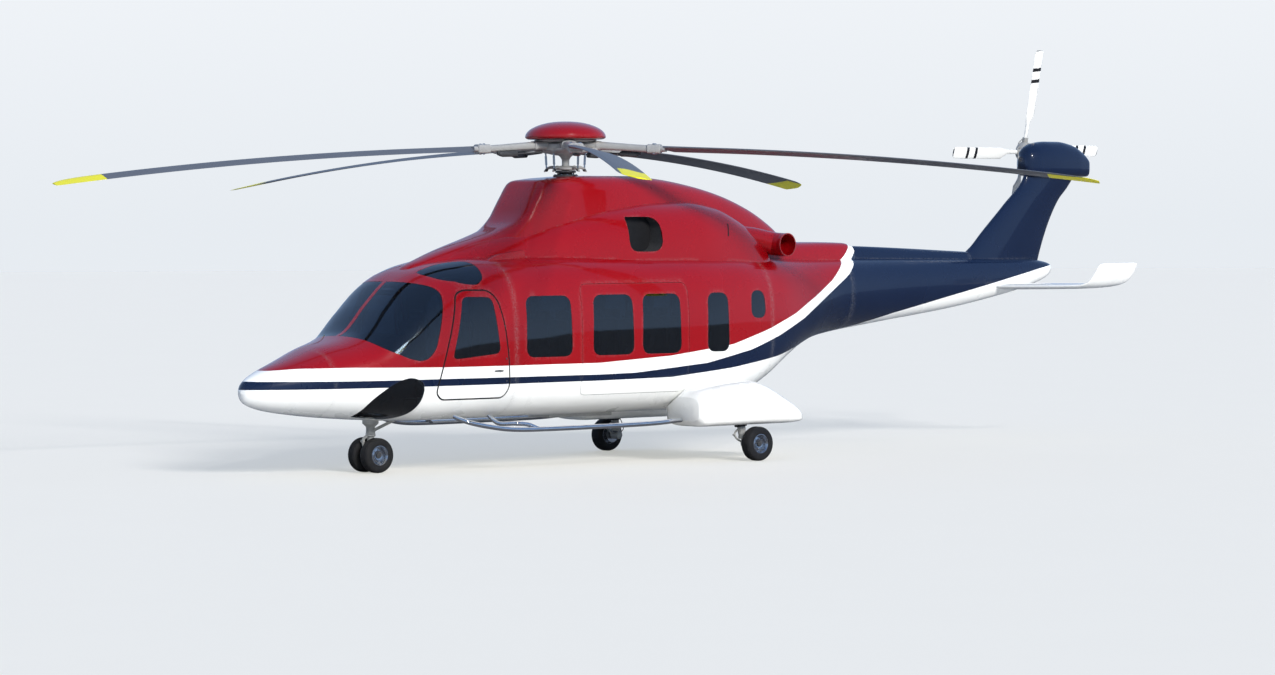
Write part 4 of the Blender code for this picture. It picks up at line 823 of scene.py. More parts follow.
# Screen faces of the instrument panel, with plain coloured fields
def makeScreen():
    material, tree, shader = startMaterial("display glass", (0.01, 0.012, 0.015), 0.12, Coat_Weight=1.0)
    place, _ = objectPlace(tree)
    cells = addNode(tree, "TexVoronoi", feature="F1", distance="CHEBYCHEV")
    cells.inputs["Scale"].default_value = 14.0
    tree.links.new(place, cells.inputs["Vector"])
    glow = mixColour(tree, 0.9, cells.outputs["Color"], (0.02, 0.08, 0.10))
    tree.links.new(mixColour(tree, 0.5, glow, (0.01, 0.012, 0.015)), shader.inputs["Base Color"])
    return material


looks = {
    "livery": makePaint("livery paint"),
    "red": makePaint("red paint", paintColours["red"], 0.0),
    "white": makePaint("white paint", paintColours["white"], 0.35),
    "glass": makeGlass("tinted glass", (0.12, 0.17, 0.22)),
    "blade": makeBladeSkin(),
    "tailBlade": makeTailBladeSkin(),
    "hub": makeMetal("hub grey", (0.40, 0.40, 0.385), 0.42, 0.1, 0.25, wear=0.4),
    "hubDark": makeMetal("hub dark", (0.045, 0.047, 0.05), 0.5, 0.1, 0.2, wear=0.3, worn=(0.2, 0.2, 0.2)),
    "steel": makeMetal("bright steel", (0.62, 0.63, 0.65), 0.22, 0.08, 1.0),
    "chrome": makeMetal("polished tube", (0.86, 0.87, 0.89), 0.09, 0.05, 1.0, wear=0.05,
                        worn=(0.7, 0.7, 0.7)),
    "engine": makeMetal("engine metal", (0.30, 0.28, 0.26), 0.5, 0.15, 0.9, wear=0.3),
    "gear": makeMetal("gear paint", (0.36, 0.37, 0.36), 0.38, 0.1, 0.15, wear=0.5),
    "tyre": makeRubber("tyre rubber", (0.011, 0.011, 0.012), 0.7, 300.0, 0.10),
    "seal": makeRubber("black seal", (0.010, 0.010, 0.011), 0.55, 400.0, 0.0),
    "trim": makeRubber("black trim", (0.030, 0.031, 0.034), 0.5, 260.0, 0.0),
    "lining": makeRubber("cabin lining", (0.30, 0.30, 0.29), 0.65, 200.0, 0.0),
    "carpet": makeCloth("carpet", (0.045, 0.05, 0.06), 260.0),
    "cloth": makeCloth("seat cloth", (0.06, 0.07, 0.085)),
    "belt": makeCloth("belt webbing", (0.03, 0.03, 0.033), 700.0),
    "screen": makeScreen()}
print("materials ready:", len(looks))


def mount(piece, body="root", slot=None, *replaced):
    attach(piece, body)
    if replaced:
        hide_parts(*replaced)
    return piece


# Fuselage skins
skin = {"thickness": 0.022, "lining": 0.06, "ceiling": 1.97, "noseJoint": -4.45, "cabinFront": -1.80,
        "cabinBack": 2.95, "boomFront": 5.00, "step": 0.05, "count": 96, "gap": 0.0012}
noseStations = np.concatenate([[-5.47, -5.465, -5.455, -5.44, -5.42, -5.39], np.arange(-5.36, -4.46, 0.04),
                               [skin["noseJoint"] - skin["gap"]]])
tailStations = np.concatenate([stationsFor(skin["boomFront"] + skin["gap"], 9.40, 0.08),
                               [9.45, 9.50, 9.54, 9.58, 9.61, 9.64, 9.66, 9.68]])

openings = {
    "cockpitDoor": [(-2.70, 1.75), (-2.58, 1.805), (-2.19, 1.80), (-2.07, 1.67), (-1.99, 1.36),
                    (-1.93, 0.95), (-1.90, 0.48), (-1.97, 0.35), (-2.97, 0.35), (-3.06, 0.44),
                    (-3.05, 0.54)],
    "doorWindow": [(-2.61, 1.715), (-2.16, 1.705), (-2.06, 0.955), (-2.83, 0.885)],
    "windscreen": [(-4.30, 1.52), (-3.92, 1.20), (-3.76, 1.04), (-3.43, 0.895), (-3.23, 0.87),
                   (-3.08, 1.01), (-2.90, 1.62), (-2.88, 1.77), (-2.94, 1.85), (-3.14, 1.92),
                   (-4.30, 2.10)],
    "chin": [(-4.06, 0.10), (-3.98, 0.35), (-3.80, 0.51), (-3.60, 0.625), (-3.43, 0.665), (-3.28, 0.61),
             (-3.24, 0.51), (-3.26, 0.33), (-3.33, 0.17), (-3.46, 0.10)],
    "overhead": [(0.35, -2.90), (0.55, -2.90), (0.78, -2.80), (0.95, -2.50), (0.985, -2.31), (0.94, -2.19),
                 (0.80, -2.16), (0.55, -2.18), (0.42, -2.40), (0.37, -2.62)],
    "cabinDoor": [(-0.66, 0.345), (1.26, 0.345), (1.26, 1.86), (-0.66, 1.86)],
    "cabinWindows": [(-1.63, -0.83, 0.885, 1.71), (-0.47, 0.26, 0.885, 1.71), (0.41, 1.12, 0.885, 1.71),
                     (1.60, 2.03, 0.885, 1.71), (2.48, 2.80, 1.34, 1.73)],
    "windowLean": 0.02, "windowCorner": 0.14, "post": 0.035, "chinInner": 0.42, "doorGap": 0.008,
    "doorWindows": (1, 2)}
paneDepths = (-0.0025, -0.0095)  # outer and inner face of the glass, from the skin


def windowLine(window):
    front, back, bottom, top = window
    lean = openings["windowLean"]
    return roundCorners([(front + lean, top), (back - lean, top), (back, bottom), (front, bottom)],
                        openings["windowCorner"])


lines = {"door": roundCorners(openings["cockpitDoor"], 0.10, 6),
         "doorWindow": roundCorners(openings["doorWindow"], 0.09),
         "windscreen": roundCorners(openings["windscreen"], 0.16, 8),
         "chin": roundCorners(openings["chin"], 0.12, 6),
         "overhead": roundCorners(openings["overhead"], 0.12, 6),
         "cabinDoor": roundCorners(openings["cabinDoor"], 0.12),
         "windows": [windowLine(window) for window in openings["cabinWindows"]]}


def sidePrism(line, side, inner=0.55, outer=1.6):
    return prism("cutter", line, *sorted((side * inner, side * outer)))


def overheadPrism(line, side):
    return prism("cutter", [(side * x, y) for x, y in line], 1.6, 2.6, upright=True)


def sideFrame(outerLine, innerLine, side, inner=0.55, outer=1.6):
    return framePrism("cutter", outerLine, innerLine, *sorted((side * inner, side * outer)))


# Everything that is cut through the cockpit's skin and lining; the margin widens the holes
def cockpitHoles(margin, doorMargin):
    holes = [prism("cutter", grow(lines["door"], doorMargin), -1.6, 1.6)]
    for side in sides.values():
        holes.append(sidePrism(grow(lines["windscreen"], margin), side, openings["post"] - margin))
        holes.append(sidePrism(grow(lines["chin"], margin), side, openings["chinInner"]))
        holes.append(overheadPrism(grow(lines["overhead"], margin), side))
    return holes


# A solid through a form's sections at given stations
def formSolidAt(name, form, stations, offset=0.0, count=96, material=None):
    return loft(name, [sectionPoints(form, y, count, offset) for y in stations], material)


def fuselageShell(name, start, end, outer, inner, step=None, ceiling=None, material=None):
    return formShell(name, fuselage, start, end, outer, inner, step or skin["step"], skin["count"],
                     material or looks["livery"], ceiling)


# A pane a little below the skin, cut to its opening
def makePane(name, start, end, region, body="root", node=None):
    pane = fuselageShell(name, start, end, *paneDepths, 0.06, None, looks["glass"])
    keep(pane, region)
    smoothByForms(pane, *[(fuselage, depth, 0.0) for depth in paneDepths])
    return mount(pane, body, "tinted_glass", *([node] if node else []))


def makeSeal(name, start, end, region, body="root", proud=0.0012, deep=-0.016):
    seal = fuselageShell(name, start, end, proud, deep, 0.05, None, looks["seal"])
    keep(seal, region)
    smoothByForms(seal, (fuselage, proud, 0.0))
    return mount(seal, body)


def buildNose():
    cone = formSolidAt("noseCone", fuselage, noseStations, 0.0, skin["count"], looks["livery"])
    smoothByForms(cone, (fuselage, 0.0, 0.0))
    mount(cone, "root", "red_paint", "nose_cone")


def buildCockpit():
    shell = fuselageShell("cockpitSkin", skin["noseJoint"], skin["cabinFront"] - skin["gap"], 0.0,
                          -skin["thickness"])
    cut(shell, *cockpitHoles(0.002, openings["doorGap"]))
    smoothByForms(shell, (fuselage, 0.0, 0.0), (fuselage, -skin["thickness"], 0.0))
    mount(shell, "root", "red_paint", "cockpit_shell")
    lining = fuselageShell("cockpitLining", -4.42, skin["cabinFront"] - skin["gap"],
                           -skin["thickness"] - 0.001, -skin["lining"], 0.06, skin["ceiling"],
                           looks["lining"])
    cut(lining, *cockpitHoles(0.02, openings["doorGap"] + 0.022))
    mount(lining)
    for word, side in sides.items():
        low = word.lower()
        screen, chin, overhead = (grow(lines[name], -0.0015) for name in ("windscreen", "chin", "overhead"))
        makePane("windscreenPane" + word, -4.22, -2.74, sidePrism(screen, side, openings["post"] + 0.001),
                 "root", "windscreen_" + low)
        makePane("overheadPane" + word, -3.05, -2.05, overheadPrism(overhead, side), "root",
                 "overhead_window_" + low)
        makePane("chinPane" + word, -4.20, -3.05, sidePrism(chin, side, openings["chinInner"] + 0.001),
                 "root", "chin_window_" + low)


def buildCockpitDoors():
    for word, side in sides.items():
        low = word.lower()
        body = "cockpit_door_" + low
        door = fuselageShell("cockpitDoor" + word, -3.20, -1.84, 0.0, -skin["thickness"], 0.04)
        keep(door, sidePrism(lines["door"], side))
        inner = fuselageShell("doorInner" + word, -3.20, -1.84, -skin["thickness"] + 0.0005,
                              -skin["lining"], 0.05)
        keep(inner, sidePrism(grow(lines["door"], -0.034), side))
        cut(door, sidePrism(grow(lines["doorWindow"], 0.001), side))
        cut(inner, sidePrism(grow(lines["doorWindow"], 0.018), side))
        smoothByForms(door, (fuselage, 0.0, 0.0), (fuselage, -skin["thickness"], 0.0))
        paint(inner, looks["lining"])
        mount(door, body, "red_paint", "cockpit_door_" + low)
        mount(inner, body)
        makePane("doorPane" + word, -2.95, -1.95, sidePrism(grow(lines["doorWindow"], -0.0015), side), body,
                 "door_window_" + low)
        edge = grow(lines["door"], 0.0005)
        makeSeal("doorSeal" + word, -3.15, -1.84, sideFrame(edge, grow(lines["door"], -0.012), side), body,
                 0.0008)
        buildDoorFittings(word, side, body)


# A point on the body's side at a station and height, pushed out by a distance
def sidePoint(station, height, side, out=0.0):
    halfWidth, top, wide, bottom, topRound, bottomRound = [float(v) for v in formAt(fuselage, station)]
    above = height >= wide
    share = min(1.0, abs(height - wide) / ((top - wide) if above else (wide - bottom)))
    power = topRound if above else bottomRound
    x = halfWidth * max(0.0, 1 - share ** power) ** (1 / power)
    return Vector((side * (x + out), station, height))


doorFittings = {"handle": [(-2.16, -0.004), (-2.145, 0.020), (-2.05, 0.022), (-2.035, -0.004)],
                "handleHeight": 0.72,
                "catch": [(0.0, 0.003), (0.010, 0.003), (0.013, 0.0), (0.013, -0.006)],
                "catchHeights": (1.32, 0.88, 0.58)}


def buildDoorFittings(word, side, body):
    route = [sidePoint(station, doorFittings["handleHeight"], side, out) for station,
             out in doorFittings["handle"]]
    mount(tube("doorHandle" + word, route, 0.008, 12, 6, looks["hubDark"]), body)
    catches = []
    for height in doorFittings["catchHeights"]:
        spot = sidePoint(-1.985 + 0.036 * (1.36 - height), height, side, 0.001)
        catches.append(turned("catch", doorFittings["catch"], spot, (side, 0, 0.1), 16))
    mount(joined("doorCatches" + word, catches, looks["hubDark"]), body)


# The holes of the fixed cabin windows; the ones in the sliding doors are cut there
def cabinHoles(doorMargin, windowMargin):
    fixed = [line for k, line in enumerate(lines["windows"]) if k not in openings["doorWindows"]]
    return [prism("cutter", grow(lines["cabinDoor"], doorMargin), -1.6, 1.6),
            *[prism("cutter", grow(line, windowMargin), -1.6, 1.6) for line in fixed]]


def buildCabin():
    thickness, lined = skin["thickness"], -skin["thickness"] - 0.001
    shell = fuselageShell("cabinSkin", skin["cabinFront"], skin["cabinBack"] - skin["gap"], 0.0, -thickness,
                          0.06)
    cut(shell, *cabinHoles(0.0035, 0.001))
    smoothByForms(shell, (fuselage, 0.0, 0.0), (fuselage, -thickness, 0.0))
    mount(shell, "root", "red_paint", "cabin_shell", "underfloor")
    lining = fuselageShell("cabinLining", skin["cabinFront"], skin["cabinBack"] - 0.03, lined,
                           -skin["lining"], 0.08, skin["ceiling"], looks["lining"])
    mount(cut(lining, *cabinHoles(0.004, 0.022)))
    for word, side in sides.items():
        low = word.lower()
        inDoor = [lines["windows"][k] for k in openings["doorWindows"]]
        door = fuselageShell("cabinDoor" + word, -0.72, 1.32, 0.0, -thickness, 0.05)
        keep(door, sidePrism(grow(lines["cabinDoor"], -0.0015), side))
        cut(door, *[sidePrism(grow(line, 0.001), side) for line in inDoor])
        smoothByForms(door, (fuselage, 0.0, 0.0), (fuselage, -thickness, 0.0))
        mount(door, "root", "red_paint", "cabin_door_" + low)
        inner = fuselageShell("cabinDoorInner" + word, -0.70, 1.30, lined, -skin["lining"], 0.08, None,
                              looks["lining"])
        keep(inner, sidePrism(grow(lines["cabinDoor"], -0.004), side))
        mount(cut(inner, *[sidePrism(grow(line, 0.022), side) for line in inDoor]))
        panes = []
        for line, (front, back, *_) in zip(lines["windows"], openings["cabinWindows"]):
            pane = fuselageShell("pane", front - 0.06, back + 0.06, *paneDepths, 0.05, None, looks["glass"])
            panes.append(keep(pane, sidePrism(grow(line, -0.0015), side)))
        glass = joined("cabinPanes" + word, panes, looks["glass"])
        smoothByForms(glass, *[(fuselage, depth, 0.0) for depth in paneDepths])
        mount(glass, "root", "tinted_glass", "side_glass_" + low)


def buildFloor():
    edge = [(sidePoint(y, 0.345, 1, -skin["lining"] - 0.004).x, y)
            for y in stationsFor(-2.96, skin["cabinBack"] - 0.08, 0.08)]
    plate = prism("cabinFloor", edge + [(-x, y) for x, y in reversed(edge)], 0.325, 0.340, upright=True)
    mount(paint(plate, looks["carpet"]))
    for name, ends, offset in (("cabinBulkhead", [2.86, 2.885], -skin["lining"] + 0.01),
                               ("frontBulkhead", [-4.40, -4.385], -skin["thickness"] - 0.002)):
        mount(formSolidAt(name, fuselage, ends, offset, 64, looks["lining"]))


def buildTailBoom():
    rear = fuselageShell("rearSkin", skin["cabinBack"], skin["boomFront"] - skin["gap"], 0.0,
                         -skin["thickness"], 0.06)
    smoothByForms(rear, (fuselage, 0.0, 0.0))
    mount(rear, "root", "white_paint", "rear_fuselage")
    boom = formSolidAt("tailBoomSkin", fuselage, tailStations, 0.0, skin["count"], looks["livery"])
    smoothByForms(boom, (fuselage, 0.0, 0.0))
    mount(boom, "root", "navy_paint", "tail_boom")


buildNose()
buildCockpit()
buildCockpitDoors()
buildCabin()
buildFloor()
buildTailBoom()
print("fuselage built")


# Upper deck
deck = {"wall": 0.02, "seam": 0.0015, "intake": [(0.50, 2.29), (1.10, 2.29), (1.10, 2.775), (0.53, 2.775)],
        "intakeCorners": [0.16, 0.20, 0.20, 0.04],
        "exhaust": [(0.40, 2.40, 2.44), (0.42, 2.72, 2.48), (0.43, 3.05, 2.46), (0.50, 3.38, 2.39),
                    (0.66, 3.46, 2.37), (0.78, 3.47, 2.37)],
        "exhaustRadius": 0.168, "slot": [(2.352, 2.50), (2.376, 2.50), (2.436, 2.675), (2.412, 2.675)],
        "scoop": [(-1.88, 2.19), (-1.70, 2.265), (-1.27, 2.325), (-1.24, 2.325), (-1.24, 2.17),
                  (-1.88, 2.12)],
        "scoopMouth": [(-1.55, 2.255), (-1.20, 2.30), (-1.20, 2.24), (-1.55, 2.235)],
        "engineAt": (0.375, 0.98, 2.43), "bandsAt": (1.22, 1.51, 1.79, 2.20),
        "engine": [(0.0, 0.0), (0.09, 0.0), (0.11, 0.05), (0.11, 0.20), (0.155, 0.24), (0.155, 0.52),
                   (0.135, 0.56), (0.135, 0.80), (0.165, 0.84), (0.165, 1.22), (0.14, 1.30), (0.12, 1.50),
                   (0.0, 1.50)],
        "engineBand": [(0.138, 0.0), (0.172, 0.0), (0.172, 0.02), (0.138, 0.02)],
        "gearbox": [(0.0, 2.30), (0.26, 2.30), (0.28, 2.34), (0.28, 2.62), (0.25, 2.70), (0.24, 2.78),
                    (0.20, 3.17), (0.215, 3.18), (0.215, 3.20), (0.19, 3.21), (0.12, 3.255), (0.11, 3.30),
                    (0.0, 3.30)],
        "mastBase": [(0.065, 3.30), (0.165, 3.30), (0.175, 3.32), (0.175, 3.352), (0.165, 3.362),
                     (0.13, 3.364), (0.095, 3.38), (0.085, 3.40), (0.065, 3.40)],
        "bolt": [(0.0, 3.372), (0.007, 3.372), (0.009, 3.369), (0.009, 3.35)], "boltCount": 12,
        "boltReach": 0.152}
lines["intake"] = roundCorners(deck["intake"], deck["intakeCorners"], 10)


def skinTool(start=-3.6, end=8.6, offset=0.0):
    return formSolid("skinTool", fuselage, start, end, offset, 0.1, 96)


def exhaustRoute(side, past=False):
    route = [Vector((side * x, y, z)) for x, y, z in deck["exhaust"]]
    return route + [route[-1] * 2 - route[-2]] if past else route


def exhaustTool(side, margin=0.008):
    return tube("exhaustTool", exhaustRoute(side, True), deck["exhaustRadius"] + margin, 40, 8)


def pylonTool(offset=0.0):
    return formSolid("pylonTool", pylonForm, -2.88, 4.13, offset, 0.05, 96)


def cowlTool(offset=0.0, start=-2.55, end=3.38):
    return formSolid("cowlTool", cowlForm, start, end, offset, 0.05, 96)


def buildPylon():
    pylon = formSolid("rotorPylon", pylonForm, -2.88, 4.13, 0.0, 0.03, 128, looks["livery"])
    hollow = formSolid("hollow", pylonForm, -2.4, 3.8, -deck["wall"], 0.06, 96)
    well = rod("well", (0, 0, 3.0), (0, 0, 3.6), 0.12, count=48)
    cut(pylon, hollow, skinTool(), cowlTool(-deck["wall"], -1.2, 3.3), well, exhaustTool(1),
        exhaustTool(-1))
    smoothByForms(pylon, (pylonForm, 0.0, 0.0))
    mount(pylon, "root", "red_paint", "rotor_pylon")


def buildCowls():
    for word, side in sides.items():
        low = word.lower()
        cowl = formSolid("engineCowling" + word, cowlForm, -2.55, 3.38, 0.0, 0.03, 128, looks["livery"])
        hollow = cowlTool(-deck["wall"], -1.90, 3.30)
        otherHalf = block("otherHalf", (0, -3, 1), (-side * 1.5, 5, 4))
        cut(cowl, hollow, otherHalf, pylonTool(deck["seam"]), skinTool(-2.0, 4.0), exhaustTool(side),
            sidePrism(lines["intake"], side, 0.5, 1.3))
        smoothByForms(cowl, (cowlForm, 0.0, 0.0))
        mount(cowl, "root", "red_paint", "engine_cowling_" + low)
        buildIntake(word, side)
        buildExhaust(word, side)


def buildIntake(word, side):
    edge = grow(lines["intake"], 0.010)
    duct = sideFrame(edge, lines["intake"], side, 0.505, 1.3)
    duct.name = "intakeDuct" + word
    keep(duct, cowlTool(-0.0005))
    mount(paint(duct, looks["hubDark"]))
    # A black plate closes the duct a little way in: painted shade standing in for the dark, shaded depth of
    # the intake
    plate = sidePrism(lines["intake"], side, 0.502, 0.520)
    plate.name = "intakeShadowPlate" + word
    mount(paint(plate, looks["seal"]))
    # A black strip on the cowl's side: painted shade standing in for the shaded inside of a narrow vent slot
    slot = formShell("cowlSlotShadow" + word, cowlForm, 2.25, 2.55, 0.0012, -0.018, 0.03, 96, looks["seal"])
    mount(keep(slot, sidePrism(deck["slot"], side, 0.4, 1.3)))
    scoop = prism("roofScoop" + word, deck["scoop"], *sorted((side * 0.46, side * 0.64)))
    cut(scoop, prism("mouth", deck["scoopMouth"], *sorted((side * 0.48, side * 0.62))))
    softenEdges(scoop, 0.008)
    mount(paint(scoop, looks["red"]))


def buildExhaust(word, side):
    radius, route = deck["exhaustRadius"], exhaustRoute(side)[1:]
    mount(pipe("exhaustPipe" + word, route, radius, 0.008, material=looks["red"]))
    mount(pipe("exhaustLiner" + word, route, radius - 0.0085, 0.005, material=looks["red"]))
    x, y, z = deck["engineAt"]
    engine = turned("engine" + word, deck["engine"], (side * x, y, z), (0, 1, 0), 48, looks["engine"])
    mount(engine, "root", "engine_metal", "engine_" + word.lower())
    bands = [turned("band", deck["engineBand"], (side * x, station, z), (0, 1, 0), 48, closed=True)
             for station in deck["bandsAt"]]
    mount(joined("engineBands" + word, bands, looks["steel"]))


def buildRearDeck():
    rear = formSolid("rearDeckFairing", rearDeckForm, 2.90, 5.38, 0.0, 0.05, 96, looks["livery"])
    cut(rear, skinTool(), cowlTool(deck["seam"]), pylonTool(deck["seam"]), exhaustTool(1), exhaustTool(-1))
    smoothByForms(rear, (rearDeckForm, 0.0, 0.0))
    mount(rear, "root", "red_paint", "rear_deck_fairing")
    cover = formSolid("driveShaftCover", shaftCoverForm, 5.10, 7.85, 0.0, 0.08, 64, looks["livery"])
    cut(cover, skinTool(), formSolid("rearTool", rearDeckForm, 2.9, 5.38, deck["seam"], 0.1, 96))
    smoothByForms(cover, (shaftCoverForm, 0.0, 0.0))
    mount(cover, "root", "navy_paint", "drive_shaft_cover")


def buildGearbox():
    centre, up = (0, 0, 0), (0, 0, 1)
    body = turned("mainGearbox", deck["gearbox"], centre, up, 64, looks["hubDark"])
    mount(body, "root", "engine_metal", "main_gearbox")
    mount(turned("mastBasePlate", deck["mastBase"], centre, up, 72, looks["hubDark"], True))
    bolts = []
    for k in range(deck["boltCount"]):
        angle = 2 * pi * k / deck["boltCount"]
        spot = (deck["boltReach"] * cos(angle), deck["boltReach"] * sin(angle), 0)
        bolts.append(turned("bolt", deck["bolt"], spot, up, 6))
    mount(joined("mastBaseBolts", bolts, looks["steel"]))


buildPylon()
buildCowls()
buildRearDeck()
buildGearbox()
print("upper deck built")


# Main rotor
rotor = {"hub": 3.73, "radius": 7.40, "rest": radians(-14.8), "count": 5, "pitch": radians(9.0),
         "droop": 0.49,
         "lead": [(1.36, -0.085), (1.40, -0.105), (1.47, -0.137), (6.90, -0.137), (7.20, -0.10),
                  (7.31, -0.04), (7.40, 0.05)],
         "trail": [(1.36, 0.085), (1.41, 0.12), (1.52, 0.253), (7.34, 0.253), (7.40, 0.235)],
         "half": [(1.36, 0.034), (2.05, 0.026), (6.70, 0.021), (7.40, 0.010)]}
wingSection = [(1.0, 0.03), (0.85, 0.20), (0.65, 0.55), (0.45, 0.88), (0.33, 0.99), (0.22, 0.97),
               (0.13, 0.82), (0.06, 0.60), (0.02, 0.35), (0.0, 0.0), (0.02, -0.26), (0.06, -0.42),
               (0.13, -0.54), (0.22, -0.62), (0.33, -0.62), (0.45, -0.56), (0.65, -0.36), (0.85, -0.14),
               (1.0, -0.03)]


def bladeTurn(index):
    return rotor["rest"] + 2 * pi * index / rotor["count"] - pi / 2


def bladeFrame(index):
    return Matrix.Translation((0, 0, rotor["hub"])) @ Matrix.Rotation(bladeTurn(index), 4, "Z")


def buildBlade(index):
    rings = []
    reaches = np.concatenate([[1.361, 1.42, 1.50], np.arange(1.60, 6.7, 0.17), np.arange(6.72, 7.28, 0.05),
                              [7.29, 7.32, 7.345, 7.365, 7.38, 7.39]])
    for r in reaches:
        lead, trail, half = (float(along(rotor[k], r)) for k in ("lead", "trail", "half"))
        droop = -rotor["droop"] * (r / rotor["radius"]) ** 2
        ring = []
        for share, height in wingSection:
            y, z = lead + (trail - lead) * share, height * half
            ring.append((r, y * cos(rotor["pitch"]) + z * sin(rotor["pitch"]),
                         droop - y * sin(rotor["pitch"]) + z * cos(rotor["pitch"])))
        rings.append(ring)
    blade = loft("mainBlade%d" % (index + 1), rings, looks["blade"], 40)
    blade.matrix_world = bladeFrame(index)
    mount(blade, "main_rotor", "blade_composite", "main_blade_%d" % (index + 1))


# Sleeves are (reach, half width, half height, rise) along the arm
armShape = {
    "sleeve": [(0.22, 0.130, 0.062, 0.038), (0.42, 0.105, 0.060, 0.036), (0.56, 0.084, 0.056, 0.030),
               (0.80, 0.074, 0.052, 0.014), (0.98, 0.074, 0.050, 0.000), (1.12, 0.078, 0.050, -0.010),
               (1.20, 0.084, 0.052, -0.013)],
    "cuff": [(1.165, 0.088, 0.054, -0.013), (1.175, 0.102, 0.064, -0.013), (1.34, 0.104, 0.066, -0.016),
             (1.352, 0.094, 0.056, -0.016)],
    "socket": [(1.34, 0.088, 0.046, -0.016), (1.42, 0.112, 0.040, -0.018)],
    "ring": [(0.455, 0.110, 0.068, 0.034), (0.50, 0.104, 0.066, 0.032)],
    "damper": [(0.76, 0.035, 0.028, -0.080), (0.78, 0.048, 0.040, -0.080), (0.98, 0.048, 0.040, -0.084),
               (1.03, 0.030, 0.025, -0.084)],
    "damperRod": [(0.40, 0.085, -0.055), (0.60, 0.075, -0.070), (0.78, 0.062, -0.080)],
    "pin": [(0.0, 0.076), (0.014, 0.076), (0.020, 0.070), (0.020, -0.070), (0.014, -0.076), (0.0, -0.076)],
    "pinsAt": [(1.26, -0.062, -0.015), (1.26, 0.062, -0.015)],
    "horn": [(0.47, -0.06, -0.012), (0.40, -0.13, -0.020), (0.30, -0.175, -0.034), (0.22, -0.19, -0.04)],
    "linkFoot": (0.21, -0.18, -0.30)}


# One arm with its sleeve, clamp, pins, damper, horn and pitch link, in the arm's own frame
def buildArm(index):
    horn, foot = Vector(armShape["horn"][-1]), Vector(armShape["linkFoot"])
    grey = [ovalSleeve("sleeve", armShape["sleeve"], 28),
            ovalSleeve("cuff", armShape["cuff"], 28, power=5.0),
            ovalSleeve("socket", armShape["socket"], 28), ovalSleeve("ring", armShape["ring"], 28),
            tube("horn", armShape["horn"], 0.026, 16, 6), ball("hornEnd", horn, 0.031)]
    dark = [ovalSleeve("damper", armShape["damper"], 24, shift=0.06),
            tube("damperRod", armShape["damperRod"], 0.013, 12, 6),
            block("damperFoot", (1.00, 0.035, -0.095), (1.06, 0.085, -0.035), 0.006),
            ball("linkFoot", foot, 0.024)]
    bright = [turned("pin", armShape["pin"], spot, (0, 0, 1), 20) for spot in armShape["pinsAt"]]
    bright.append(rod("pitchLink", horn, foot, 0.0115, count=16))
    bright.append(rod("linkSleeve", horn.lerp(foot, 0.25), horn.lerp(foot, 0.72), 0.016, count=16,
                      bevel=0.003))
    for title, parts, look in (("hubArm", grey, "hub"), ("hubArmDark", dark, "hubDark"),
                               ("hubArmSteel", bright, "steel")):
        piece = joined(title + str(index + 1), parts, looks[look])
        piece.matrix_world = bladeFrame(index)
        mount(piece, "main_rotor")


def ovalSleeve(name, profile, count, shift=0.0, power=3.2):
    rings = []
    for r, halfY, halfZ, rise in profile:
        ring = []
        for k in range(count):
            a = 2 * pi * k / count
            c, s = cos(a), sin(a)
            ring.append((r, shift + halfY * abs(c) ** (2 / power) * (1 if c >= 0 else -1),
                         rise + halfZ * abs(s) ** (2 / power) * (1 if s >= 0 else -1)))
        rings.append(ring)
    return loft(name, rings)


def ball(name, centre, radius, count=20, squash=1.0):
    profile = [(radius * sin(t), -radius * squash * cos(t)) for t in np.linspace(0.02, pi - 0.02, 12)]
    return turned(name, profile, centre, (0, 0, 1), count, smoothAngle=60)


# Profiles are (radius, height) from the hub's centre
hubShape = {
    "hub": [(0.0, -0.10), (0.10, -0.10), (0.16, -0.095), (0.30, -0.062), (0.335, -0.03), (0.34, 0.0),
            (0.34, 0.055), (0.33, 0.065), (0.24, 0.085), (0.20, 0.10), (0.0, 0.10)],
    "mast": [(0.0, -0.60), (0.052, -0.60), (0.052, -0.30), (0.060, -0.285), (0.060, -0.25), (0.052, -0.235),
             (0.052, -0.16), (0.075, -0.12), (0.10, -0.10), (0.0, -0.10)],
    "cover": [(0.0, 0.085), (0.36, 0.085), (0.43, 0.100), (0.435, 0.110), (0.43, 0.118), (0.0, 0.118)],
    "dome": [(0.0, 0.122), (0.48, 0.122), (0.525, 0.126), (0.552, 0.138), (0.562, 0.152), (0.563, 0.168),
             (0.556, 0.192), (0.538, 0.222), (0.505, 0.255), (0.46, 0.284), (0.40, 0.312), (0.33, 0.336),
             (0.25, 0.355), (0.17, 0.367), (0.09, 0.373), (0.0, 0.374)],
    "turningRing": [(0.066, -0.300), (0.155, -0.300), (0.165, -0.290), (0.165, -0.272), (0.15, -0.262),
                    (0.10, -0.245), (0.066, -0.240)],
    "stillRing": [(0.066, -0.340), (0.135, -0.340), (0.145, -0.334), (0.145, -0.312), (0.135, -0.306),
                  (0.066, -0.306)],
    "lug": [(0.10, -0.086, -0.276), (0.155, -0.134, -0.262), (0.20, -0.172, -0.280),
            (0.235, -0.202, -0.322)],
    "lugRadii": [0.024, 0.022, 0.018, 0.012], "servos": 3, "servoReach": 0.125}


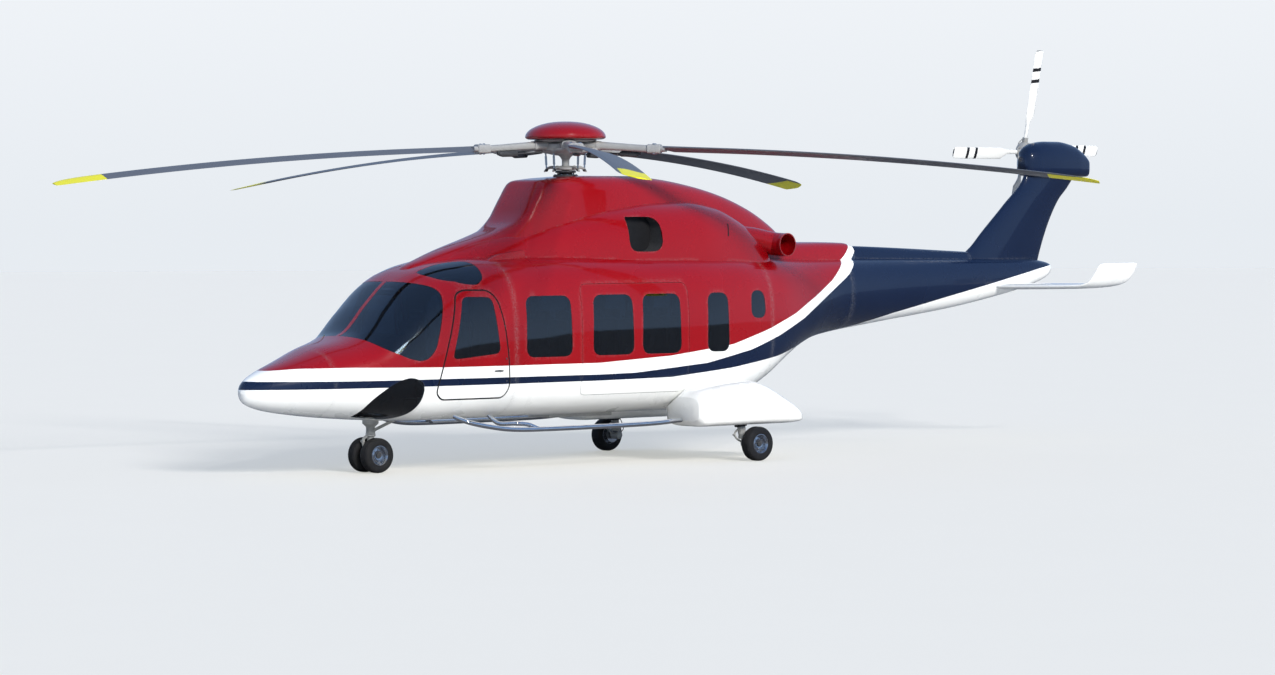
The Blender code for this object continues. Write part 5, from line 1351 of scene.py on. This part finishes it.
def buildHub():
    centre, up = (0, 0, rotor["hub"]), (0, 0, 1)
    mount(turned("rotorHub", hubShape["hub"], centre, up, 80, looks["hub"]), "main_rotor", "hub_metal",
          "rotor_hub")
    mount(turned("rotorMast", hubShape["mast"], centre, up, 48, looks["hub"]), "main_rotor")
    mount(turned("hubCoverPlate", hubShape["cover"], centre, up, 80, looks["hub"]), "main_rotor")
    dome = turned("rotorDome", hubShape["dome"], centre, up, 96, looks["red"], smoothAngle=60)
    mount(dome, "main_rotor", "red_paint", "rotor_dome")
    turning = [turned("ring", hubShape["turningRing"], centre, up, 64, closed=True)]
    for index in range(rotor["count"]):
        lug = tube("lug", hubShape["lug"], 0.02, 14, 6, radii=hubShape["lugRadii"])
        lug.data.transform(bladeFrame(index))
        turning.append(lug)
    mount(joined("turningSwashRing", turning, looks["hub"]), "main_rotor")
    still = [turned("ring", hubShape["stillRing"], centre, up, 64, closed=True)]
    for k in range(hubShape["servos"]):
        angle = 2 * pi * k / hubShape["servos"] + 0.4
        spot = Vector((cos(angle), sin(angle), 0)) * hubShape["servoReach"]
        still.append(rod("servoRod", spot + Vector((0, 0, 3.34)), spot + Vector((0, 0, 3.395)), 0.011,
                         count=12))
    mount(joined("stillSwashRing", still, looks["hubDark"]))


for index in range(rotor["count"]):
    buildBlade(index)
    buildArm(index)
buildHub()
print("main rotor built")


# Tail
fin = {"lead": [(1.95, 7.62), (2.20, 7.80), (2.30, 7.94), (2.53, 8.19), (2.94, 8.66), (3.36, 9.10),
                (3.66, 9.19)],
       "trail": [(1.95, 9.36), (2.30, 9.48), (2.70, 9.66), (3.04, 9.88), (3.20, 10.05), (3.37, 10.20),
                 (3.50, 10.31), (3.66, 10.34)], "half": 0.11}
stabiliser = [(0.00, 1.70, 8.20, 9.12, 0.055), (1.25, 1.707, 8.58, 9.44, 0.045),
              (1.48, 1.715, 8.70, 9.55, 0.042), (1.585, 1.745, 8.79, 9.64, 0.038),
              (1.65, 1.82, 8.86, 9.72, 0.034), (1.685, 1.93, 8.93, 9.78, 0.029),
              (1.70, 2.02, 8.99, 9.82, 0.024), (1.705, 2.045, 9.03, 9.80, 0.018),
              (1.706, 2.055, 9.10, 9.76, 0.010)]
tailHub = Vector((-0.62, 9.80, 3.78))
tailCant = radians(12.0)
outward = Vector((-cos(tailCant), 0, sin(tailCant)))
upward = Vector((sin(tailCant), 0, cos(tailCant)))
forward = Vector((0, -1, 0))


# Points round a flat section, as (place between the edges, thickness there), blunter at the front
def flatSection(lead, trail, half, count, front=1.0, taper=0.0):
    points = []
    for k in range(count):
        angle = 2 * pi * k / count
        share = (1 - cos(angle)) / 2
        points.append((lead + (trail - lead) * share, half * sin(angle) * (front - taper * share)))
    return points


def buildFin():
    rings = []
    for z in np.concatenate([np.arange(1.95, 3.60, 0.05), [3.66]]):
        lead, trail = float(along(fin["lead"], z)), float(along(fin["trail"], z))
        rings.append([(x, y, z) for y, x in flatSection(lead, trail, fin["half"], 56, 1.15, 0.45)])
    blade = loft("tailFin", rings, looks["livery"], 50)
    cut(blade, skinTool(5.0, 9.68, -0.002),
        formSolid("coverTool", shaftCoverForm, 5.1, 7.85, 0.001, 0.1, 64))
    mount(blade, "root", "navy_paint", "tail_fin")
    head = formSolid("finHead", finHeadForm, 9.06, 10.41, 0.0, 0.025, 96, looks["livery"])
    smoothByForms(head, (finHeadForm, 0.0, 0.0))
    mount(head)
    mount(turned("tailGearbox", tailShape["gearbox"], tailHub, outward, 48, looks["hub"]))


def buildStabiliser():
    knots = [(-x, z, lead, trail, t) for x, z, lead, trail, t in reversed(stabiliser[1:])] + stabiliser
    run = np.arange(len(knots))
    fine = np.linspace(0, len(knots) - 1, 8 * (len(knots) - 1) + 1)
    columns = [along([(float(r), float(k[c])) for r, k in zip(run, knots)], fine) for c in range(5)]
    stations = list(zip(*columns))
    rings = []
    for k, (x, z, lead, trail, thickness) in enumerate(stations):
        before, after = stations[max(0, k - 1)], stations[min(len(stations) - 1, k + 1)]
        path = Vector((after[0] - before[0], 0, after[1] - before[1])).normalized()
        normal = Vector((-path.z, 0, path.x))
        rings.append([Vector((x, y, z)) + normal * height
                      for y, height in flatSection(lead, trail, thickness, 40, 1.1, 0.4)])
    wing = loft("stabiliser", rings, looks["white"], 50)
    mount(wing, "root", "white_paint", "stabiliser")


# Blade knots are (reach, low edge, high edge, half thickness)
tailShape = {
    "hub": [(0.0, -0.12), (0.085, -0.12), (0.095, -0.10), (0.10, -0.035), (0.145, -0.028), (0.15, -0.02),
            (0.15, 0.088), (0.142, 0.10), (0.08, 0.108), (0.06, 0.125), (0.0, 0.13)],
    "gearbox": [(0.0, -0.55), (0.13, -0.55), (0.13, -0.42), (0.145, -0.41), (0.145, -0.385),
                (0.125, -0.375), (0.115, -0.26), (0.10, -0.20), (0.095, -0.125), (0.0, -0.125)],
    "knots": [(-1.60, -0.03, 0.09, 0.008), (-1.585, -0.048, 0.103, 0.010), (-1.56, -0.06, 0.115, 0.012),
              (-0.56, -0.06, 0.115, 0.015), (-0.49, -0.045, 0.07, 0.019), (-0.43, -0.032, 0.036, 0.021),
              (-0.10, -0.030, 0.030, 0.021), (0.10, -0.030, 0.030, 0.021), (0.43, -0.036, 0.032, 0.021),
              (0.49, -0.07, 0.045, 0.019), (0.56, -0.115, 0.06, 0.015), (1.56, -0.115, 0.06, 0.012),
              (1.585, -0.103, 0.048, 0.010), (1.60, -0.09, 0.03, 0.008)]}


def bladePair(name, shift):
    rings = [[(r, y, shift + height) for y, height in flatSection(low, high, half, 24)]
             for r, low, high, half in tailShape["knots"]]
    return loft(name, rings, looks["tailBlade"], 50)


def buildTailRotor():
    hub = turned("tailRotorHub", tailShape["hub"], tailHub, outward, 56, looks["hub"])
    mount(hub, "tail_rotor", "hub_metal", "tail_rotor_hub")
    for word, first, other, shift in (("Vertical", upward, forward, 0.062),
                                      ("Level", forward, upward, 0.0)):
        turn = Matrix((first, other, outward)).transposed().to_4x4()
        turn.translation = tailHub
        pair = bladePair("tailBlades" + word, shift)
        links = []
        for end in (1, -1):
            route = [(end * 0.05, end * 0.09, 0.06), (end * 0.11, end * 0.085, 0.05 + shift),
                     (end * 0.20, end * 0.035, shift + 0.02)]
            links.append(tube("link", route, 0.008, 12, 6))
            links.append(block("grip", (end * 0.13, -0.040, shift - 0.027),
                               (end * 0.22, 0.040, shift + 0.027), 0.006))
        grips = joined("tailGrips" + word, links, looks["hub"])
        pair.matrix_world = grips.matrix_world = turn
        mount(pair, "tail_rotor", "white_paint", "tail_blades_" + word.lower())
        mount(grips, "tail_rotor")


buildFin()
buildStabiliser()
buildTailRotor()
print("tail built")


# Landing gear and steps, with points (x, y, z) of the port side
gear = {"sweep": [(0.98, [(0.50, -0.20), (1.55, 0.47), (0.50, 0.47)]),
                  (1.62, [(0.50, 0.36), (0.86, 0.50), (0.50, 0.52)])],
        "tyreRadius": 0.24, "tyreWidth": 0.18, "noseY": -3.38, "spacing": 0.28,
        "noseRadius": 0.235, "noseWidth": 0.17, "ground": -0.64,
        "step": [(0.84, -2.62, 0.12), (0.98, -2.50, 0.045), (1.10, -2.25, -0.02), (1.18, -1.87, -0.072),
                 (1.21, -1.20, -0.085), (1.22, 0.40, -0.078), (1.24, 1.045, -0.045)],
        "bracket": [(0.80, -2.00, 0.11), (0.93, -1.93, 0.005), (1.06, -1.76, 0.000), (1.14, -1.60, -0.015),
                    (1.205, -1.45, -0.082)],
        "hookPlate": [(-0.24, -0.50, 0.0), (0.24, 0.62, 0.085)],
        "disc": [(0.050, -0.012), (0.112, -0.012), (0.112, 0.012), (0.050, 0.012)]}
mainShape = {
    "socket": [(1.36, 1.99, 0.10), (1.41, 2.06, -0.40)],
    "lip": [(1.375, 2.010, -0.06), (1.383, 2.022, -0.165)],
    "joints": [(1.36, 1.99, 0.08), (1.40, 2.05, -0.33), (1.41, 2.09, -0.40), (1.65, 2.09, -0.40)],
    "knee": [(1.37, 2.045, -0.42), (1.45, 2.135, -0.325)],
    "upperLink": [(1.385, 1.985, -0.20), (1.385, 1.925, -0.235), (1.395, 1.885, -0.28)],
    "lowerLink": [(1.395, 1.885, -0.28), (1.40, 1.945, -0.345), (1.405, 2.035, -0.385)],
    "linkPin": [(1.37, 1.885, -0.28), (1.42, 1.885, -0.28)],
    "hose": [(1.33, 2.04, -0.10), (1.325, 2.10, -0.20), (1.34, 2.15, -0.30), (1.40, 2.145, -0.375)],
    "caliper": [(1.50, 2.14, -0.46), (1.555, 2.20, -0.34)]}
# Points are (x, distance behind the leg, z), profiles are (radius, height)
noseShape = {
    "leg": [(0.0, 0.16), (0.105, 0.16), (0.110, 0.10), (0.110, 0.02), (0.085, -0.005), (0.066, -0.02),
            (0.060, -0.035), (0.060, -0.105), (0.066, -0.108), (0.066, -0.120), (0.0, -0.120)],
    "collar": [(0.0, -0.126), (0.064, -0.126), (0.068, -0.130), (0.068, -0.150), (0.062, -0.155),
               (0.050, -0.160), (0.050, -0.215), (0.044, -0.222), (0.040, -0.225)],
    "brace": [(0, 0.42, 0.06), (0, 0.03, -0.085)],
    "upperLink": [(0, -0.045, -0.145), (0, -0.105, -0.175), (0, -0.130, -0.215)],
    "lowerLink": [(0, -0.130, -0.215), (0, -0.110, -0.29), (0, -0.045, -0.37)],
    "linkPin": [(-0.030, -0.130, -0.215), (0.030, -0.130, -0.215)]}
# Bead and dish go by shares of the rim's radius, the wall by the tyre's, each with a share of the half width
wheelShape = {
    "rim": 0.56, "grooves": (-0.34, 0.0, 0.34),
    "groove": [(0.998, -1.4), (0.972, -1), (0.972, 1), (0.998, 1.4)],
    "grooveHalf": 0.045, "bead": [(0.98, 0.60), (1.0, 0.86), (1.10, 0.97)],
    "wall": [(0.72, 1.0), (0.85, 0.985), (0.93, 0.88), (0.975, 0.70), (0.995, 0.50)],
    "boss": [(0.040, 0.50), (0.060, 0.55), (0.066, 0.30)],
    "dish": [(0.72, 0.22), (0.82, 0.40), (0.90, 0.80), (0.97, 0.90), (1.02, 0.88), (0.99, 0.60)],
    "boltCount": 8, "boltReach": 0.078,
    "bolt": [(0.0, 0.014), (0.006, 0.014), (0.008, 0.011), (0.008, -0.004)],
    "cap": [(0.0, 0.0), (0.034, 0.0), (0.038, -0.006), (0.038, -0.030)]}


def mirrored(points, side):
    return [Vector((side * x, y, z)) for x, y, z in points]


# Tyre with three grooves, and a dished rim with bolts and a dark cap
def buildWheel(name, centre, radius, width, out, body, node):
    rim, half, axle = radius * wheelShape["rim"], width / 2, (1, 0, 0)
    profile = [(rim * r, -half * across) for r, across in wheelShape["bead"]]
    profile += [(radius * r, -half * across) for r, across in wheelShape["wall"]]
    otherSide = [(r, -across) for r, across in reversed(profile)]
    for share in wheelShape["grooves"]:
        reach = half * wheelShape["grooveHalf"]
        profile += [(radius * r, half * share + reach * across) for r, across in wheelShape["groove"]]
    tyre = turned(name + "Tyre", profile + otherSide, centre, axle, 96, looks["tyre"], True, 30)
    mount(tyre, body, "tyre_rubber", node)
    flat = [(r, -half * across) for r, across in wheelShape["boss"]]
    flat += [(rim * r, -half * across) for r, across in wheelShape["dish"]]
    ring = flat + [(r, -across) for r, across in reversed(flat)]
    parts = [turned("rim", ring, centre, axle, 72, closed=True)]
    for side in (-1, 1):
        for k in range(wheelShape["boltCount"]):
            angle, reach = 2 * pi * k / wheelShape["boltCount"], wheelShape["boltReach"]
            spot = centre + Vector((side * half * 0.24, reach * cos(angle), reach * sin(angle)))
            parts.append(turned("bolt", wheelShape["bolt"], spot, (side, 0, 0), 6))
    mount(joined(name + "Rim", parts, looks["steel"]), body)
    face = centre + Vector((out * half * 0.66, 0, 0))
    mount(turned(name + "Cap", wheelShape["cap"], face, (out, 0, 0), 32, looks["hubDark"]), body)


def buildMainGear():
    for word, side in sides.items():
        low = word.lower()
        at = {name: mirrored(points, side) for name, points in mainShape.items()}
        top, foot, knee, wheel = at["joints"]
        outwards = Vector((side, 0, 0))
        sponson = formSolid("sponson" + word, sponsonForm, 1.06, 3.00, 0.0, 0.03, 96, looks["white"], None,
                            side * sponsonX)
        cut(sponson, skinTool(0.5, 4.2), rod("legSocket", *at["socket"], 0.075, count=40))
        cut(sponson, loft("sweep",
                          [[(side * x, y, z) for x, z in corners[::side]] for y, corners in gear["sweep"]]))
        smoothByForms(sponson, (sponsonForm, 0.0, side * sponsonX))
        mount(sponson, "root", "white_paint", "sponson_" + low)
        mount(pipe("socketLip" + word, at["lip"], 0.088, 0.014, 40, 4, looks["seal"]))
        parts = [rod("cylinder", top, foot, 0.058, count=40),
                 rod("collar", foot + (top - foot) * 0.10, foot, 0.066, count=40, bevel=0.006),
                 rod("knuckle", knee - outwards * 0.055, knee + outwards * 0.09, 0.060, count=40,
                     bevel=0.010),
                 rod("axle", knee, wheel + outwards * 0.050, 0.030, count=32),
                 block("knee", *at["knee"], 0.012)]
        mount(joined("mainLeg" + word, parts, looks["gear"]), "root", "gear_paint", "main_leg_" + low)
        mount(rod("mainPiston" + word, foot + (top - foot) * 0.04, knee, 0.040, count=32,
                  material=looks["chrome"]))
        links = [tube("upperLink", at["upperLink"], 0.014, 12, 6),
                 tube("lowerLink", at["lowerLink"], 0.014, 12, 6),
                 rod("linkPin", *at["linkPin"], 0.012, count=16, bevel=0.002)]
        mount(joined("mainTorqueLink" + word, links, looks["gear"]))
        mount(tube("brakeHose" + word, at["hose"], 0.006, 10, 8, looks["seal"]))
        mount(turned("brakeDisc" + word, gear["disc"], wheel - outwards * 0.118, (1, 0, 0), 56,
                     looks["steel"], True))
        mount(block("brakeCaliper" + word, *at["caliper"], 0.008, looks["hubDark"]))
        wheelName = "main_wheel_" + low
        buildWheel("mainWheel" + word, wheel, gear["tyreRadius"], gear["tyreWidth"], side, wheelName,
                   wheelName)


def buildNoseGear():
    y, low = gear["noseY"], gear["ground"] + gear["noseRadius"]
    at = {name: [(x, y + behind, z) for x, behind, z in noseShape[name]]
          for name in ("brace", "upperLink", "lowerLink", "linkPin")}
    parts = [turned("root", noseShape["leg"], (0, y, 0), (0, 0, 1), 48),
             rod("brace", *at["brace"], 0.021, count=20),
             ball("braceEnd", (0, y + 0.05, -0.078), 0.030)]
    mount(joined("noseLeg", parts, looks["gear"]), "root", "gear_paint", "nose_leg")
    collar = noseShape["collar"] + [(0.040, low + 0.03), (0.0, low + 0.03)]
    fork = [turned("collar", collar, (0, y, 0), (0, 0, 1), 40),
            rod("axle", (-0.195, y, low), (0.195, y, low), 0.030, count=32, bevel=0.004),
            rod("hubBlock", (-0.038, y, low), (0.038, y, low), 0.056, count=40, bevel=0.008)]
    mount(joined("noseFork", fork, looks["gear"]), "nose_fork", "gear_paint", "nose_fork")
    links = [tube("upperLink", at["upperLink"], 0.020, 12, 6),
             tube("lowerLink", at["lowerLink"], 0.018, 12, 6),
             rod("linkPin", *at["linkPin"], 0.018, count=20, bevel=0.003)]
    mount(joined("noseTorqueLink", links, looks["gear"]), "nose_fork")
    for word, side in sides.items():
        centre = Vector((side * gear["spacing"] / 2, y, low))
        buildWheel("noseWheel" + word, centre, gear["noseRadius"], gear["noseWidth"], side, "nose_wheels",
                   "nose_wheel_" + word.lower())


def buildSteps():
    for word, side in sides.items():
        rail = tube("rail", mirrored(gear["step"], side), 0.033, 32, 14)
        bracket = tube("bracket", mirrored(gear["bracket"], side), 0.031, 24, 12)
        step = joined("step" + word, [rail, bracket], looks["chrome"])
        cut(step, skinTool(-3.4, 2.0, -0.006))
        mount(step, "root", "polished_tube", "step_" + word.lower())


def buildHookPlate():
    plate = block("hookPlate", *gear["hookPlate"], 0.008, looks["gear"])
    mount(cut(plate, skinTool(-1.0, 1.2)), "root", "gear_paint", "belly_hook_plate")


buildMainGear()
buildNoseGear()
buildSteps()
buildHookPlate()
print("landing gear built")


# Interior
cabin = {"floor": 0.341, "pilotX": 0.49, "beltWidth": 0.045, "pilotFront": -2.78,
         "rows": (-1.15, 0.10, 1.35), "rowPlaces": (-0.66, -0.22, 0.22, 0.66)}


# A cushion with rounded edges and a crowned top, from its corner points in a local frame
def cushion(name, size, frameAt, crown=0.02):
    width, depth, height = size
    rings = []
    for t in np.linspace(-1, 1, 15):
        edge = (1 - abs(t) ** 6) ** (1 / 6) if abs(t) < 1 else 0.0
        ring = []
        for k in range(40):
            a = 2 * pi * k / 40
            c, s = cos(a), sin(a)
            y = depth / 2 * abs(c) ** 0.45 * (1 if c >= 0 else -1)
            z = height / 2 * abs(s) ** 0.55 * (1 if s >= 0 else -1)
            z += crown * (1 - (2 * y / depth) ** 2) * (1 - t ** 2) * (1 if s > 0 else 0)
            ring.append((width / 2 * t, y * (0.86 + 0.14 * edge), z * (0.45 + 0.55 * edge)))
        rings.append(ring)
    piece = loft(name, rings, None, 60)
    piece.data.transform(frameAt)
    return piece


def lean(x, y, z, angle=0.0):
    return Matrix.Translation((x, y, z)) @ Matrix.Rotation(angle, 4, "X")


# One place: cushions, frame and belts; at() counts from the middle of the cushion's front edge on the floor
def buildPlace(name, x, frontY, width):
    def at(aside, behind, above):
        return (x + aside, frontY + behind, cabin["floor"] + above)
    upright = radians(-83) + pi
    soft = [cushion("base", (width, 0.44, 0.11), lean(*at(0, 0.22, 0.41), radians(-5)), 0.02),
            cushion("back", (width, 0.62, 0.10), lean(*at(0, 0.50, 0.72), upright), 0.02),
            cushion("head", (width * 0.62, 0.18, 0.09), lean(*at(0, 0.565, 1.06), upright), 0.015)]
    cloth = joined(name + "Cushions", soft, looks["cloth"])
    half, post = width / 2 - 0.02, width * 0.42
    back = [at(-post, 0.47, 0.36), at(-post, 0.60, 0.98), at(0, 0.625, 1.03), at(post, 0.60, 0.98),
            at(post, 0.47, 0.36)]
    hard = [block("pan", at(-half, 0.03, 0.30), at(half, 0.44, 0.36), 0.01),
            block("column", at(-0.10, 0.14, 0), at(0.10, 0.36, 0.31), 0.01),
            tube("backFrame", back, 0.014, 12, 8)]
    frameWork = joined(name + "Frame", hard, looks["trim"])
    straps = []
    for aside in (-0.09, 0.09):
        route = [at(aside, 0.515, 0.98), at(aside, 0.44, 0.80), at(aside * 0.8, 0.385, 0.60),
                 at(aside * 0.3, 0.30, 0.485)]
        straps.append(ribbon(route, cabin["beltWidth"]))
    reach = width * 0.44
    lap = [at(-reach, 0.34, 0.46), at(0, 0.27, 0.495), at(reach, 0.34, 0.46)]
    straps.append(ribbon(lap, cabin["beltWidth"], True))
    belts = joined(name + "Belts", straps, looks["belt"])
    for piece in (cloth, frameWork, belts):
        mount(piece)
    return cloth


def ribbon(route, width, level=False):
    across = Vector((0, 1, 0)) if level else Vector((1, 0, 0))
    out = Vector((0, 0, 1)) if level else Vector((0, -0.8, 0.6))
    rings = []
    for ring in sweepRings(route, 0.001, 4, 6):
        centre = sum(ring, Vector()) / 4
        rings.append([centre + across * (sx * width / 2) + out * (sz * 0.0015)
                      for sx, sz in ((-1, -1), (1, -1), (1, 1), (-1, 1))])
    return loft("ribbon", rings)


def buildSeats():
    for word, side in sides.items():
        cloth = buildPlace("pilot" + word, side * cabin["pilotX"], cabin["pilotFront"], 0.48)
        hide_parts("pilot_seat_" + word.lower())
    for row, frontY in enumerate(cabin["rows"]):
        for k, x in enumerate(cabin["rowPlaces"]):
            cloth = buildPlace("row%dPlace%d" % (row + 1, k + 1), x, frontY, 0.42)
            if k == 0:
                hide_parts("cabin_seats_row_%d" % (row + 1))


# Outlines are (y, z); the stick's boot is (radius, height)
panelShape = {
    "hood": [(-3.80, 1.02), (-3.70, 1.08), (-3.50, 1.17), (-3.34, 1.215), (-3.26, 1.215), (-3.23, 1.19),
             (-3.26, 1.16), (-3.34, 0.70), (-3.66, 0.66)],
    "console": [(-3.62, 0.10), (-3.62, 0.90), (-3.32, 0.80), (-3.16, 0.66), (-2.70, 0.58), (-2.62, 0.50),
                (-2.62, 0.345), (-2.90, 0.345), (-2.98, 0.12)],
    "screensAt": (-0.46, -0.23, 0.0, 0.23, 0.46), "screenY": -3.288, "screenZ": 0.96,
    "slope": (0, 0.08, 0.46),
    "stick": [(-2.98, 0.20), (-2.98, 0.55), (-2.93, 0.78), (-2.90, 0.92)],
    "boot": [(0.0, 0.0), (0.075, 0.0), (0.060, 0.02), (0.035, 0.10), (0.016, 0.16), (0.0, 0.16)]}


def buildPanel():
    panel = prism("instrumentPanel", panelShape["hood"], -0.60, 0.60)
    keep(panel, formSolid("room", fuselage, -4.3, -2.4, -0.066, 0.1, 64))
    softenEdges(panel, 0.012)
    mount(paint(panel, looks["trim"]), "root", "black_trim", "instrument_panel")
    console = prism("centreConsole", panelShape["console"], -0.15, 0.15)
    softenEdges(console, 0.010)
    mount(paint(console, looks["trim"]))
    slope, across = Vector(panelShape["slope"]).normalized(), Vector((1, 0, 0))
    bezels, faces = [], []
    for x in panelShape["screensAt"]:
        turn = Matrix((across, slope, across.cross(slope))).transposed().to_4x4()
        turn.translation = Vector((x, panelShape["screenY"], panelShape["screenZ"]))
        bezels.append(block("bezel", (-0.105, -0.13, -0.002), (0.105, 0.13, 0.014), 0.004))
        faces.append(block("face", (-0.088, -0.112, 0.010), (0.088, 0.112, 0.0155), 0.002))
        bezels[-1].data.transform(turn)
        faces[-1].data.transform(turn)
    mount(joined("panelBezels", bezels, looks["seal"]))
    mount(joined("panelScreens", faces, looks["screen"]))
    for word, side in sides.items():
        x = side * cabin["pilotX"]
        stick = [tube("stick", [(x, y, z) for y, z in panelShape["stick"]], 0.014, 14, 8),
                 ball("grip", (x, -2.895, 0.95), 0.032, 20, 1.6),
                 turned("boot", panelShape["boot"], (x, -2.98, 0.13), (0, 0, 1), 28)]
        mount(joined("flightStick" + word, stick, looks["seal"]))
        pedals = []
        for aside in (x - 0.11, x + 0.11):
            pedals.append(block("pedal", (aside - 0.045, -3.50, 0.36), (aside + 0.045, -3.46, 0.50), 0.008))
            pedals.append(rod("arm", (aside, -3.48, 0.43), (aside, -3.62, 0.30), 0.012, count=14))
        mount(joined("pedals" + word, pedals, looks["hubDark"]))


buildSeats()
buildPanel()
print("interior built")


# Picture
picture = {"camera": (41.6706, -33.7442, 2.6939), "right": (0.6437, 0.7653, -0.0035),
           "up": (-0.0206, 0.0219, 0.9995),
           "focal": 108.58, "sensor": 36.0, "ground": -0.64, "floorRadius": 220.0,
           "sunFrom": (0.90, -0.12, 0.42),
           "sunPower": 3.6, "sunAngle": 14.0, "sparkFrom": (0.84, -0.30, 0.52), "sparkPower": 0.8,
           "sparkAngle": 3.0, "skyPower": 1.15,
           "glossHorizon": (0.32, 0.45, 0.66), "glossZenith": (0.13, 0.22, 0.42),
           "groundTone": (0.64, 0.62, 0.58), "groundGloss": (0.13, 0.13, 0.135),
           "pale": (0.42, 0.41, 0.395),
           "lift": (0.421, 0.421, 0.39), "behind": (0.80, 0.84, 0.885), "zenith": (0.28, 0.38, 0.58),
           "horizon": (0.30, 0.34, 0.40)}


def buildStage():
    rings = [[(r * cos(2 * pi * k / 96), r * sin(2 * pi * k / 96) + 1.3, picture["ground"] + drop)
              for k in range(96)] for r,
             drop in ((picture["floorRadius"], -0.05), (picture["floorRadius"], 0.0))]
    floor = loft("studioFloor", rings)
    material, tree, shader = startMaterial("studio floor", picture["pale"], 0.8)
    grain = useGroup(tree, "finishGrain", Scale=0.6, Fine_Scale=30.0)
    seen = addNode(tree, "LightPath").outputs["Is Camera Ray"]
    pale = mixColour(tree, grain["Patches"], tuple(c * 0.97 for c in picture["pale"]), picture["pale"])
    mirrored = addNode(tree, "LightPath").outputs["Is Glossy Ray"]
    bounced = mixColour(tree, mirrored, picture["groundTone"], picture["groundGloss"])
    tree.links.new(mixColour(tree, seen, bounced, pale), shader.inputs["Base Color"])
    tree.links.new(mixColour(tree, seen, (0.0, 0.0, 0.0), picture["lift"]), shader.inputs["Emission Color"])
    shader.inputs["Emission Strength"].default_value = 1.0
    bump(tree, shader, grain["Height"], 0.05, 0.002)
    floor.data.materials.append(material)


# Pale behind the model, and a soft sky that only lights it and shows in its gloss
def buildLight():
    world = bpy.data.worlds.new("studio sky")
    bpy.context.scene.world = world
    world.use_nodes = True
    tree = world.node_tree
    sky = tree.nodes["Background"]
    up = addNode(tree, "SeparateXYZ")
    tree.links.new(addNode(tree, "TexCoord").outputs["Generated"], up.inputs[0])
    height = remap(tree, up.outputs["Z"], 0.0, 0.8)
    spread = mixColour(tree, height, picture["horizon"], picture["zenith"])
    gloss = mixColour(tree, height, picture["glossHorizon"], picture["glossZenith"])
    dome = mixColour(tree, addNode(tree, "LightPath").outputs["Is Glossy Ray"], spread, gloss)
    seen = addNode(tree, "LightPath").outputs["Is Camera Ray"]
    fade = mixColour(tree, remap(tree, up.outputs["Z"], 0.0, 0.14), picture["behind"], (0.95, 0.97, 1.0))
    tree.links.new(mixColour(tree, seen, dome, fade), sky.inputs["Color"])
    tree.links.new(remap(tree, seen, 0.0, 1.0, picture["skyPower"], 1.0), sky.inputs["Strength"])
    lamps = (("keySun", picture["sunPower"], picture["sunAngle"], picture["sunFrom"], False),
             ("sparkle", picture["sparkPower"], picture["sparkAngle"], picture["sparkFrom"], True))
    for name, energy, angle, origin, glossy in lamps:
        lamp = bpy.data.lights.new(name, "SUN")
        lamp.energy = energy
        lamp.angle = radians(angle)
        lamp.color = (1.0, 0.97, 0.93)
        sun = bpy.data.objects.new(name, lamp)
        bpy.context.scene.collection.objects.link(sun)
        sun.visible_glossy = glossy
        sun.rotation_euler = Vector(origin).to_track_quat("Z", "Y").to_euler()


def buildCamera():
    lens = bpy.data.cameras.new("photoCamera")
    lens.sensor_width = picture["sensor"]
    lens.lens = picture["focal"]
    lens.clip_end = 500.0
    camera = bpy.data.objects.new("photoCamera", lens)
    bpy.context.scene.collection.objects.link(camera)
    right, up = Vector(picture["right"]), Vector(picture["up"])
    back = right.cross(up)
    frameMatrix = Matrix((right, up, back)).transposed().to_4x4()
    frameMatrix.translation = Vector(picture["camera"])
    camera.matrix_world = frameMatrix
    bpy.context.scene.camera = camera


buildStage()
buildLight()
buildCamera()
bpy.context.scene.view_settings.view_transform = "Standard"
